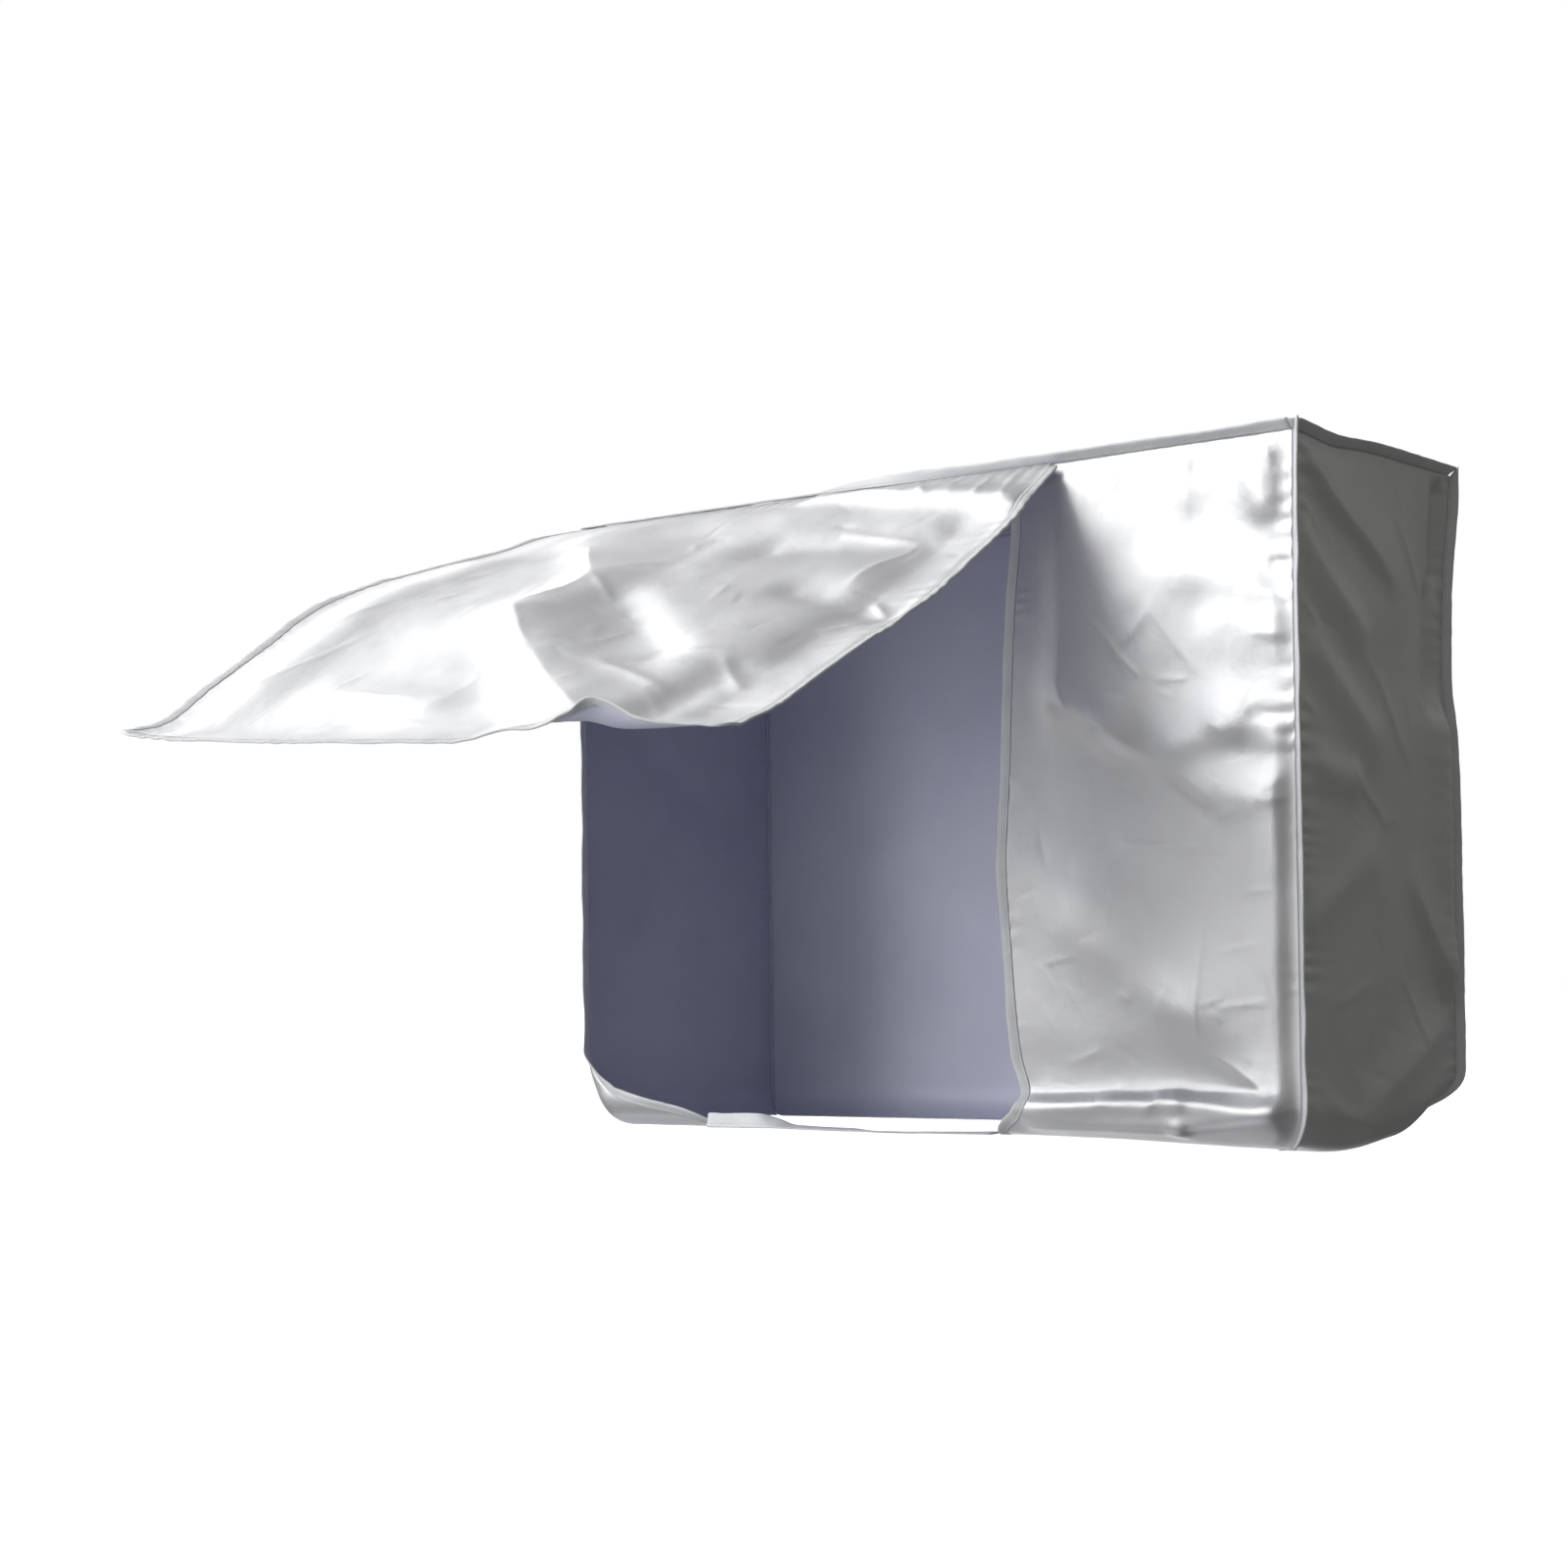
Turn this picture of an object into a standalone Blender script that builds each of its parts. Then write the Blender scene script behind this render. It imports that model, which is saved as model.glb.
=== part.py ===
"""Fitted outdoor cover for an air conditioner, in silver coated cloth.

Five panels make a box that is open below and at the front left. A front flap is sewn along the
top seam only and is lifted outwards. Bindings cover the seams and the free edges.
Every sheet is a grid that a function lays on the cloth's middle surface, thickened by Solidify.
Metres. +Z is up, -Y is the front and +X the right. The origin is at the middle of the top panel.
"""
from collections import namedtuple
from math import cos, exp, hypot, pi, radians, sin

import bmesh
import bpy
from mathutils import Vector, noise

# Driving sizes
WIDTH = 0.860
DEPTH = 0.320
HEIGHT = 0.640
CLOTH = 0.0016
TAPE_WIDTH = 0.010
TAPE_THICK = 0.0026
GAP = 0.0003

# How the sheets meet: each stops this far short of the corner line that it shares
SEAM_SET = CLOTH / 2 + 2 * GAP
MITRE_SET = TAPE_THICK / 2 * 2 ** 0.5 + 3 * GAP
SEAM_CALM = 0.022
WELD = 0.00005

# The turned hem: a quarter round at the foot of each wall, then a flat strip under it
HEM_ROUND = 0.034
HEM_TURN = 0.026
HEM_ARC = HEM_ROUND * pi / 2
WALL = HEIGHT - HEM_ROUND
DOWN_TOTAL = WALL + HEM_ARC + HEM_TURN
WALL_ROWS = 22
ARC_ROWS = 5
TURN_ROWS = 2
ROWS = WALL_ROWS + ARC_ROWS + TURN_ROWS
DEEP_COLUMNS = 10
WIDE_COLUMNS = 24
TOP_COLUMNS = 12
BACK_COLUMNS = 8
FRONT_COLUMNS = 16
LEFT_COLUMNS = 16
FLAP_COLUMNS = 36
FLAP_ROWS = 38

HALF_W = WIDTH / 2
HALF_D = DEPTH / 2

# A fold runs from one place to another on its panel and lifts the cloth outwards.
# The spreads are its half widths left and right of that direction; across is the place along
# the panel and down is the distance below its top edge.
Fold = namedtuple("Fold", "across down to_across to_down lift left_spread right_spread")
FOLD_CORE = 0.001

# Front panel: across is the distance right of the cover's middle
FRONT_FOLDS = (
    Fold(0.190, 0.010, 0.188, 0.230, 0.0070, 0.075, 0.022),
    Fold(0.385, 0.012, 0.399, 0.062, 0.0060, 0.016, 0.014),
    Fold(0.342, 0.073, 0.428, 0.138, -0.0055, 0.040, 0.016),
    Fold(0.310, 0.118, 0.377, 0.130, 0.0050, 0.030, 0.014),
    Fold(0.377, 0.130, 0.428, 0.160, 0.0045, 0.026, 0.012),
    Fold(0.359, 0.170, 0.424, 0.186, 0.0030, 0.020, 0.030),
    Fold(0.187, 0.225, 0.243, 0.262, 0.0070, 0.045, 0.024),
    Fold(0.243, 0.262, 0.340, 0.324, 0.0065, 0.045, 0.020),
    Fold(0.311, 0.274, 0.362, 0.261, 0.0045, 0.030, 0.014),
    Fold(0.362, 0.261, 0.424, 0.277, 0.0045, 0.030, 0.018),
    Fold(0.387, 0.328, 0.428, 0.307, 0.0045, 0.020, 0.012),
    Fold(0.126, 0.384, 0.218, 0.439, 0.0065, 0.055, 0.055),
    Fold(0.218, 0.439, 0.318, 0.518, 0.0065, 0.055, 0.045),
    Fold(0.318, 0.520, 0.400, 0.585, 0.0045, 0.030, 0.025),
    Fold(0.404, 0.350, 0.402, 0.600, 0.0060, 0.024, 0.050),
    Fold(0.130, 0.596, 0.392, 0.588, -0.0070, 0.050, 0.011),
    Fold(0.128, 0.612, 0.300, 0.602, 0.0050, 0.010, 0.011),
    Fold(0.300, 0.602, 0.406, 0.612, 0.0050, 0.010, 0.011),
    Fold(0.140, 0.628, 0.300, 0.627, 0.0065, 0.010, 0.010),
    Fold(0.300, 0.627, 0.404, 0.612, 0.0060, 0.010, 0.010),
)

# Right side panel: across is the distance back from the cover's middle
RIGHT_FOLDS = (
    Fold(-0.146, 0.018, 0.020, 0.112, 0.0070, 0.040, 0.014),
    Fold(-0.140, 0.098, -0.040, 0.170, 0.0070, 0.018, 0.026),
    Fold(-0.122, 0.193, -0.020, 0.268, 0.0070, 0.020, 0.028),
    Fold(-0.116, 0.300, -0.060, 0.310, 0.0050, 0.018, 0.020),
    Fold(0.135, 0.015, 0.138, 0.100, -0.0080, 0.016, 0.014),
    Fold(0.112, 0.130, 0.122, 0.230, -0.0060, 0.018, 0.014),
    Fold(0.140, 0.250, 0.138, 0.480, 0.0100, 0.026, 0.030),
    Fold(0.068, 0.410, 0.142, 0.512, 0.0060, 0.030, 0.014),
    Fold(-0.136, 0.435, -0.028, 0.382, 0.0040, 0.020, 0.024),
    Fold(-0.036, 0.603, 0.125, 0.545, 0.0050, 0.022, 0.022),
)

# Left side panel: across is the distance forward from the cover's middle
LEFT_FOLDS = (
    Fold(-0.120, 0.060, 0.090, 0.180, 0.0060, 0.030, 0.024),
    Fold(-0.130, 0.330, 0.060, 0.230, 0.0050, 0.028, 0.024),
    Fold(0.020, 0.360, 0.120, 0.520, 0.0060, 0.026, 0.030),
    Fold(-0.110, 0.560, 0.040, 0.500, 0.0040, 0.024, 0.024),
)

# Back panel: across is the distance left of the cover's middle
BACK_FOLDS = (
    Fold(-0.340, 0.090, -0.080, 0.240, 0.0060, 0.050, 0.040),
    Fold(0.040, 0.120, 0.300, 0.330, 0.0060, 0.050, 0.040),
    Fold(-0.200, 0.520, 0.180, 0.400, 0.0050, 0.050, 0.050),
)

# The front panel's free left edge, as the photo shows it from the top down to the hem
EdgePlace = namedtuple("EdgePlace", "down across")
FRONT_EDGE = (
    EdgePlace(0.000, 0.1300),
    EdgePlace(0.060, 0.1270),
    EdgePlace(0.150, 0.1190),
    EdgePlace(0.370, 0.1090),
    EdgePlace(0.560, 0.1160),
    EdgePlace(0.604, 0.1250),
    EdgePlace(0.622, 0.1150),
    EdgePlace(0.640, 0.0930),
    EdgePlace(0.660, 0.0840),
    EdgePlace(DOWN_TOTAL, 0.0830),
)

# The left side panel's free front edge: how far it wraps on to the front at each depth
WrapPlace = namedtuple("WrapPlace", "down corner_round reach")
LEFT_WRAP = (
    WrapPlace(0.000, 0.004, 0.000),
    WrapPlace(0.560, 0.004, 0.000),
    WrapPlace(0.585, 0.014, 0.000),
    WrapPlace(0.606, 0.030, 0.006),
    WrapPlace(0.617, 0.036, 0.034),
    WrapPlace(0.628, 0.040, 0.084),
    WrapPlace(0.638, 0.042, 0.106),
    WrapPlace(0.649, 0.043, 0.118),
    WrapPlace(WALL + HEM_ARC, 0.044, 0.124),
    WrapPlace(DOWN_TOTAL, 0.044, 0.124),
)
WRAP_TURN = 0.008
LEFT_ROW_CROWD = 0.6

# The lifted flap: its outline, with the bindings, from the seam outwards
FlapEdge = namedtuple("FlapEdge", "out aside drop")
FLAP_SEAM_LEFT = -0.4285
FLAP_SEAM_RIGHT = 0.187
FLAP_SEAM_OUT = 0.0019
FLAP_SEAM_DROP = 0.0012
FLAP_LEFT = (
    FlapEdge(FLAP_SEAM_OUT, 0.000, FLAP_SEAM_DROP),
    FlapEdge(0.060, 0.004, 0.014),
    FlapEdge(0.130, 0.010, 0.038),
    FlapEdge(0.202, 0.015, 0.059),
    FlapEdge(0.318, 0.024, 0.095),
    FlapEdge(0.371, 0.028, 0.118),
    FlapEdge(0.426, 0.032, 0.156),
    FlapEdge(0.491, 0.037, 0.200),
    FlapEdge(0.560, 0.042, 0.244),
    FlapEdge(0.598, 0.046, 0.249),
)
FLAP_RIGHT = (
    FlapEdge(FLAP_SEAM_OUT, 0.000, FLAP_SEAM_DROP),
    FlapEdge(0.030, 0.002, 0.024),
    FlapEdge(0.079, 0.004, 0.066),
    FlapEdge(0.143, 0.007, 0.111),
    FlapEdge(0.220, 0.010, 0.158),
    FlapEdge(0.345, 0.016, 0.224),
    FlapEdge(0.413, 0.019, 0.260),
    FlapEdge(0.457, 0.021, 0.276),
    FlapEdge(0.476, 0.022, 0.281),
)
# Its hem sags, and near the right corner its edge stands up as a lip over a dip: the share is that
# of the way from left to right
HemPlace = namedtuple("HemPlace", "share sag lip dip")
FLAP_HEM = (
    HemPlace(0.000, 0.000, 0.0000, 0.000),
    HemPlace(0.060, 0.008, 0.0000, 0.000),
    HemPlace(0.328, 0.013, 0.0000, 0.000),
    HemPlace(0.574, 0.012, 0.0000, 0.000),
    HemPlace(0.683, 0.001, 0.0000, 0.000),
    HemPlace(0.756, 0.000, 0.0060, 0.008),
    HemPlace(0.795, 0.000, 0.0145, 0.009),
    HemPlace(0.828, 0.000, 0.0095, 0.008),
    HemPlace(0.860, 0.000, 0.0030, 0.007),
    HemPlace(0.900, 0.000, 0.0005, 0.004),
    HemPlace(1.000, 0.000, 0.0000, 0.000),
)
FLAP_LENGTH = 0.62
FLAP_SLOPE = radians(25)
FLAP_CALM = 0.030
FLAP_ROW_CROWD = 0.75
HEM_CURL = 0.007
HEM_DIP = 0.016
# across is the distance right of the flap's left edge and down the distance from its seam
FLAP_FOLDS = (
    Fold(0.120, 0.110, 0.235, 0.240, 0.0060, 0.050, 0.030),
    Fold(0.235, 0.250, 0.228, 0.345, 0.0050, 0.045, 0.032),
    Fold(0.240, 0.370, 0.480, 0.610, 0.0100, 0.050, 0.030),
    Fold(0.370, 0.160, 0.520, 0.150, -0.0080, 0.030, 0.040),
    Fold(0.470, 0.270, 0.590, 0.320, -0.0060, 0.034, 0.020),
    Fold(0.300, 0.300, 0.420, 0.420, -0.0070, 0.026, 0.040),
    Fold(0.520, 0.460, 0.500, 0.580, -0.0070, 0.026, 0.026),
    Fold(0.560, 0.120, 0.555, 0.540, -0.0060, 0.040, 0.024),
    Fold(0.340, 0.014, 0.600, 0.075, 0.0070, 0.022, 0.016),
    Fold(0.140, 0.510, 0.260, 0.525, 0.0050, 0.026, 0.020),
    Fold(0.060, 0.200, 0.060, 0.560, 0.0040, 0.030, 0.030),
)

# The tape along the front of the hem, from the left wrap to the front panel's foot
TapePlace = namedtuple("TapePlace", "across back drop tilt")
HEM_TAPE_WIDE = 0.014
HEM_TAPE_THICK = 0.0020
HEM_TAPE = (
    TapePlace(-0.2680, 0.0076, HEIGHT - 0.0014, 70),
    TapePlace(-0.2020, 0.0070, HEIGHT - 0.0020, 74),
    TapePlace(-0.1850, 0.0080, HEIGHT - 0.0020, 40),
    TapePlace(-0.1600, 0.0100, HEIGHT - 0.0010, 8),
    TapePlace(-0.0400, 0.0110, HEIGHT + 0.0000, 0),
    TapePlace(0.0200, 0.0120, HEIGHT + 0.0000, 0),
    TapePlace(0.0855, 0.0140, HEIGHT - 0.0004, 0),
)

# The whole cover's give: its top front right corner flares, its right top edge sags, its foot is
# drawn up at the back right and sags below the middle of the right side
CORNER_FLARE = 0.0040
FLARE_REACH = 0.120
SIDE_SAG = 0.0050
SIDE_SAG_BACK = -0.090
SIDE_SAG_REACH = 0.050
FOOT_LIFT = 0.026
FOOT_LIFT_FROM = 0.060
FOOT_LIFT_ABOVE = 0.500
FOOT_SAG = 0.014
FOOT_SAG_BACK = -0.040
FOOT_SAG_REACH = 0.100
# How far the back right edge is drawn in at each depth
DrawPlace = namedtuple("DrawPlace", "down inward")
EDGE_DRAW = (
    DrawPlace(0.000, 0.0000),
    DrawPlace(0.030, 0.0010),
    DrawPlace(0.100, 0.0058),
    DrawPlace(0.200, 0.0078),
    DrawPlace(0.260, 0.0040),
    DrawPlace(0.360, 0.0026),
    DrawPlace(DOWN_TOTAL, 0.0026),
)
EDGE_DRAW_REACH = 0.100

# How the top binding stands along the front edge and, from front to back, along the left one:
# 45 degrees is out and up, and past 90 it lies back on the top panel, where the lifted flap draws it
LeanPlace = namedtuple("LeanPlace", "across lean")
TOP_BINDING_LEAN = (
    LeanPlace(-0.430, 172),
    LeanPlace(-0.130, 172),
    LeanPlace(-0.075, 140),
    LeanPlace(-0.010, 90),
    LeanPlace(0.060, 58),
    LeanPlace(0.130, 45),
    LeanPlace(0.430, 45),
)
LEFT_BINDING_LEAN = (
    LeanPlace(-0.160, 172),
    LeanPlace(-0.120, 150),
    LeanPlace(-0.050, 80),
    LeanPlace(0.000, 45),
    LeanPlace(0.160, 45),
)
BINDING_WAVE = 0.0008
BINDING_WAVE_RATE = 0.37
FOOT_NARROW = 0.55
# How far an upright seam's binding rises at its top, to meet the top binding's corner
TOP_MITRE = 0.80

# A free edge's binding starts this share of a row below the top seam
EDGE_START = 0.3
MITRE_LIMIT = 0.6

# Plain finish of the coated cloth and of its tape
ROUGHNESS = 0.38
METALLIC = 0.6
SILVER = (0.62, 0.63, 0.65, 1.0)
TAPE_SILVER = (0.74, 0.75, 0.78, 1.0)


def ease(value):
    """Rise smoothly from 0 to 1."""
    value = min(max(value, 0.0), 1.0)
    return value * value * (3.0 - 2.0 * value)


def along_table(rows, key, value):
    """Read the other columns of a table at a place between two rows."""
    for low, high in zip(rows, rows[1:]):
        if value <= getattr(high, key):
            break
    span = getattr(high, key) - getattr(low, key)
    share = min(max((value - getattr(low, key)) / span, 0.0), 1.0)
    return type(low)(*(a + (b - a) * share for a, b in zip(low, high)))


def fold_lift(folds, across, down):
    """Add up what the folds of a panel lift at one place."""
    lift = 0.0
    for fold in folds:
        run_a = fold.to_across - fold.across
        run_d = fold.to_down - fold.down
        off_a = across - fold.across
        off_d = down - fold.down
        share = (off_a * run_a + off_d * run_d) / (run_a ** 2 + run_d ** 2)
        share = min(max(share, 0.0), 1.0)
        away = hypot(off_a - share * run_a, off_d - share * run_d)
        aside = (off_a * run_d - off_d * run_a) / hypot(run_a, run_d)
        leftness = 0.5 + 0.5 * aside / max(away, FOLD_CORE)
        spread = fold.right_spread + (fold.left_spread - fold.right_spread) * leftness
        lift += fold.lift * exp(-(away / spread) ** 2)
    return lift


def give(point):
    """Draw a point of the plain box to where the worn cover has it."""
    x, y, z = point
    corner = hypot(HALF_W - x, HALF_D + y)
    flare = CORNER_FLARE * (1.0 - ease(corner / FLARE_REACH)) * (1.0 - ease(-z / FLARE_REACH))
    x += flare
    y -= flare
    at_side = 1.0 - ease((HALF_W - x) / FLARE_REACH)
    at_dip = exp(-((y - SIDE_SAG_BACK) / SIDE_SAG_REACH) ** 2)
    z -= SIDE_SAG * at_side * at_dip * (1.0 - ease(-z / HEIGHT))
    at_back = ease((y - FOOT_LIFT_FROM) / (HALF_D - FOOT_LIFT_FROM))
    at_right = ease((x - FOOT_LIFT_FROM) / (HALF_W - FOOT_LIFT_FROM))
    at_foot = ease((-z - FOOT_LIFT_ABOVE) / (HEIGHT - FOOT_LIFT_ABOVE))
    z += FOOT_LIFT * at_back * at_right * at_foot
    z -= FOOT_SAG * exp(-((y - FOOT_SAG_BACK) / FOOT_SAG_REACH) ** 2) * at_right * at_foot
    at_edge = 1.0 - ease(hypot(HALF_W - x, HALF_D - y) / EDGE_DRAW_REACH)
    inward = along_table(EDGE_DRAW, "down", max(-z, 0.0)).inward * at_edge
    return Vector((x - inward, y - inward, z))


def hem_profile(down):
    """Return how far a wall has turned in, its height, and its outward direction there."""
    if down <= WALL:
        return 0.0, -down, 1.0, 0.0
    if down <= WALL + HEM_ARC:
        turn = (down - WALL) / HEM_ROUND
        return HEM_ROUND * (1 - cos(turn)), -WALL - HEM_ROUND * sin(turn), cos(turn), -sin(turn)
    return HEM_ROUND + down - WALL - HEM_ARC, -HEIGHT, 0.0, -1.0


def seam_set(down):
    """Return how far a wall stops short of its corner line: further where the hem turns in."""
    return SEAM_SET + (MITRE_SET - SEAM_SET) * ease((down - WALL) / HEM_ARC * 2)


def down_at(share, turn=HEM_TURN):
    """Place the grid's rows: even on the wall, then a few on the round and on the turned hem."""
    row = share * ROWS
    if row <= WALL_ROWS:
        return SEAM_SET + (WALL - SEAM_SET) * row / WALL_ROWS
    if row <= WALL_ROWS + ARC_ROWS:
        return WALL + HEM_ARC * (row - WALL_ROWS) / ARC_ROWS
    return WALL + HEM_ARC + turn * (row - WALL_ROWS - ARC_ROWS) / TURN_ROWS


def sheet(name, place, columns, rows, thick, facing, colour):
    """Lay a grid by place(u, v) and give it its thickness on both sides."""
    form = bmesh.new()
    bmesh.ops.create_grid(form, x_segments=columns, y_segments=rows, size=0.5)
    for vertex in form.verts:
        vertex.co = place(vertex.co.x + 0.5, 0.5 - vertex.co.y)
    bmesh.ops.remove_doubles(form, verts=form.verts, dist=WELD)
    form.normal_update()
    lean = sum((face.normal for face in form.faces), Vector())
    if lean.dot(Vector(facing)) < 0:
        bmesh.ops.reverse_faces(form, faces=form.faces)
    for face in form.faces:
        face.smooth = True
    mesh = bpy.data.meshes.new(name)
    form.to_mesh(mesh)
    form.free()
    piece = bpy.data.objects.new(name, mesh)
    cover.objects.link(piece)
    body = piece.modifiers.new("Thickness", "SOLIDIFY")
    body.thickness = thick
    body.offset = 0
    body.use_rim = True
    body.use_even_offset = True
    mesh.materials.append(finish(name, colour))
    return piece


def finish(name, colour):
    """Make the piece's own material."""
    material = bpy.data.materials.new(name)
    material.use_nodes = True
    shader = material.node_tree.nodes["Principled BSDF"]
    shader.inputs["Base Color"].default_value = colour
    shader.inputs["Roughness"].default_value = ROUGHNESS
    shader.inputs["Metallic"].default_value = METALLIC
    material.diffuse_color = colour
    return material


def outward_frames(edge, inner):
    """Give each point of a free edge its direction away from the cloth, mitred at corners."""
    frames = []
    for index, point in enumerate(edge):
        raw = point - inner[index]
        sides = []
        for other in (index - 1, index + 1):
            if 0 <= other < len(edge):
                run = (edge[other] - point).normalized()
                sides.append((raw - run * raw.dot(run)).normalized())
        middle = sum(sides, Vector()).normalized()
        frames.append(middle / max(middle.dot(sides[0]), MITRE_LIMIT))
    return frames


def ribbon(name, points, outward, wide, thick, facing, start=GAP):
    """Sew a tape along a line: it reaches from start to its width in each outward direction."""
    count = len(points) - 1

    def place(u, v):
        index = round(u * count)
        return points[index] + outward[index] * (start + wide * v)

    return sheet(name, place, count, 1, thick, facing, TAPE_SILVER)


def calm(*distances):
    """Fade the folds out towards the sewn edges."""
    still = 1.0
    for distance in distances:
        still *= ease(distance / SEAM_CALM)
    return still


def front_point(u, v):
    """Lay the fixed front panel."""
    down = down_at(v)
    turned, height, out, up = hem_profile(down)
    left = along_table(FRONT_EDGE, "down", down).across + TAPE_WIDTH + GAP
    right = HALF_W - seam_set(down) - turned
    across = left + (right - left) * u
    lift = fold_lift(FRONT_FOLDS, across, down) * calm(right - across, down, DOWN_TOTAL - down)
    return give((across, -HALF_D + turned - lift * out, height + lift * up))


def right_point(u, v):
    """Lay the right side panel, from the front seam to the back one."""
    down = down_at(v)
    turned, height, out, up = hem_profile(down)
    reach = HALF_D - seam_set(down) - turned
    across = reach * (2 * u - 1)
    still = calm(reach - across, reach + across, down, DOWN_TOTAL - down)
    lift = fold_lift(RIGHT_FOLDS, across, down) * still
    return give((HALF_W - turned + lift * out, across, height + lift * up))


def back_point(u, v):
    """Lay the back panel, from the right seam to the left one."""
    down = down_at(v)
    turned, height, out, up = hem_profile(down)
    reach = HALF_W - seam_set(down) - turned
    across = reach * (1 - 2 * u)
    still = calm(reach - across, reach + across, down, DOWN_TOTAL - down)
    lift = fold_lift(BACK_FOLDS, -across, down) * still
    return give((across, HALF_D - turned + lift * out, height + lift * up))


def left_point(u, v):
    """Lay the left side panel, which wraps on to the front at its foot."""
    down = down_at(v, WRAP_TURN)
    if down < WALL:
        wall_share = (down - SEAM_SET) / (WALL - SEAM_SET)
        down = SEAM_SET + (WALL - SEAM_SET) * wall_share ** LEFT_ROW_CROWD
    turned, height, out, up = hem_profile(down)
    wrap = along_table(LEFT_WRAP, "down", down)
    round_now = max(wrap.corner_round, turned + GAP)
    start = HALF_D - seam_set(down) - turned
    side = start + HALF_D - round_now
    bend = (round_now - turned) * pi / 2
    path = u * (side + bend + wrap.reach)
    across = path - start
    lift = fold_lift(LEFT_FOLDS, across, down)
    lift *= calm(path, down, max(side - path, 0.0), max(WALL - down, 0.0))
    if path <= side:
        return give((-HALF_W + turned - lift * out, -across, height))
    corner = Vector((-HALF_W + round_now, -HALF_D + round_now, 0))
    if path <= side + bend:
        angle = (path - side) / (round_now - turned)
        reach = round_now - turned
        return give((corner.x - reach * cos(angle), corner.y - reach * sin(angle), height))
    return give((corner.x + path - side - bend, -HALF_D + turned, height))


def top_point(u, v):
    """Lay the top panel flat over what it covers."""
    across = (HALF_W - SEAM_SET) * (2 * u - 1)
    deep = (HALF_D - SEAM_SET) * (2 * v - 1)
    return give((across, deep, 0.0))


def flap_point(u, v):
    """Lay the flap between its left and right edges and its hem."""
    length = v * FLAP_LENGTH
    left = edge_at(FLAP_LEFT, v)
    right = edge_at(FLAP_RIGHT, v)
    hem = along_table(FLAP_HEM, "share", u)
    back = max((1 - v) * FLAP_LENGTH - TAPE_WIDTH - GAP, 0.0)
    rise = hem.lip * exp(-back / HEM_CURL) - hem.sag * v ** 2
    rise -= hem.dip * back / HEM_DIP * exp(1 - back / HEM_DIP)
    across = u * (FLAP_SEAM_RIGHT - FLAP_SEAM_LEFT)
    x = FLAP_SEAM_LEFT - left.aside + u * (FLAP_SEAM_RIGHT - right.aside - FLAP_SEAM_LEFT + left.aside)
    out = left.out + (right.out - left.out) * u
    drop = left.drop + (right.drop - left.drop) * u
    lift = fold_lift(FLAP_FOLDS, across, length)
    lift *= ease(length / FLAP_CALM)
    lift *= ease(min(across, FLAP_SEAM_RIGHT - FLAP_SEAM_LEFT - across) / FLAP_CALM + 0.15)
    lift *= ease((1 - v) * FLAP_LENGTH / FLAP_CALM + 0.1)
    y = -HALF_D - out - lift * sin(FLAP_SLOPE)
    return Vector((x, y, -drop + rise + lift * cos(FLAP_SLOPE)))


def edge_at(rows, share):
    """Read a flap edge at a share of its length."""
    lengths = [0.0]
    for low, high in zip(rows, rows[1:]):
        step = hypot(high.out - low.out, high.drop - low.drop)
        lengths.append(lengths[-1] + step)
    target = share * lengths[-1]
    for index in range(len(rows) - 1):
        if target <= lengths[index + 1]:
            break
    part = min((target - lengths[index]) / (lengths[index + 1] - lengths[index]), 1.0)
    low, high = rows[index], rows[index + 1]
    return FlapEdge(*(a + (b - a) * part for a, b in zip(low, high)))


def flap_cloth_point(u, share):
    """Lay the flap's cloth inside its bindings, with its rows closer together at the hem."""
    v = share * (1 + FLAP_ROW_CROWD * (1 - share))
    wide = FLAP_SEAM_RIGHT - FLAP_SEAM_LEFT
    side = (TAPE_WIDTH + GAP) / wide
    foot = (TAPE_WIDTH + GAP) / FLAP_LENGTH
    return flap_point(side + u * (1 - 2 * side), v * (1 - foot))


def binding_wave(index):
    """Let a binding waver a little along its length."""
    return BINDING_WAVE * noise.noise(Vector((index * BINDING_WAVE_RATE, 0.0, 0.0)))


def make_panels():
    """Cut the five panels and the flap."""
    sheet("top_panel", top_point, TOP_COLUMNS, DEEP_COLUMNS, CLOTH, (0, 0, 1), SILVER)
    sheet("front_panel", front_point, FRONT_COLUMNS, ROWS, CLOTH, (0, -1, 0), SILVER)
    sheet("right_side_panel", right_point, DEEP_COLUMNS, ROWS, CLOTH, (1, 0, 0), SILVER)
    sheet("left_side_panel", left_point, LEFT_COLUMNS, ROWS, CLOTH, (-1, 0, 0), SILVER)
    sheet("back_panel", back_point, BACK_COLUMNS, ROWS, CLOTH, (0, 1, 0), SILVER)
    sheet("front_flap", flap_cloth_point, FLAP_COLUMNS, FLAP_ROWS, CLOTH, (0, 0, 1), SILVER)


def add_binding_point(points, outward, spot, reach, lean):
    """Add a point of the top binding, raised so far that it clears the top panel at its lean."""
    rise = CLOTH / 2 + GAP - TAPE_THICK / 2 * cos(lean)
    points.append(spot + Vector((0, 0, rise)))
    outward.append(reach + Vector((0, 0, sin(lean))))


def corner_reach(spot, flat, side_x, side_y, lean):
    """Return a corner point's level reach: mitred outwards, or inwards to one shared tip."""
    level = cos(lean)
    if level > 0:
        return flat * level / max(abs(flat.x), abs(flat.y))
    tip_x = side_x * (HALF_W + TAPE_WIDTH * level)
    tip_y = side_y * (HALF_D + TAPE_WIDTH * level)
    return (Vector((tip_x, tip_y, 0)) - spot) / TAPE_WIDTH


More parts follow.
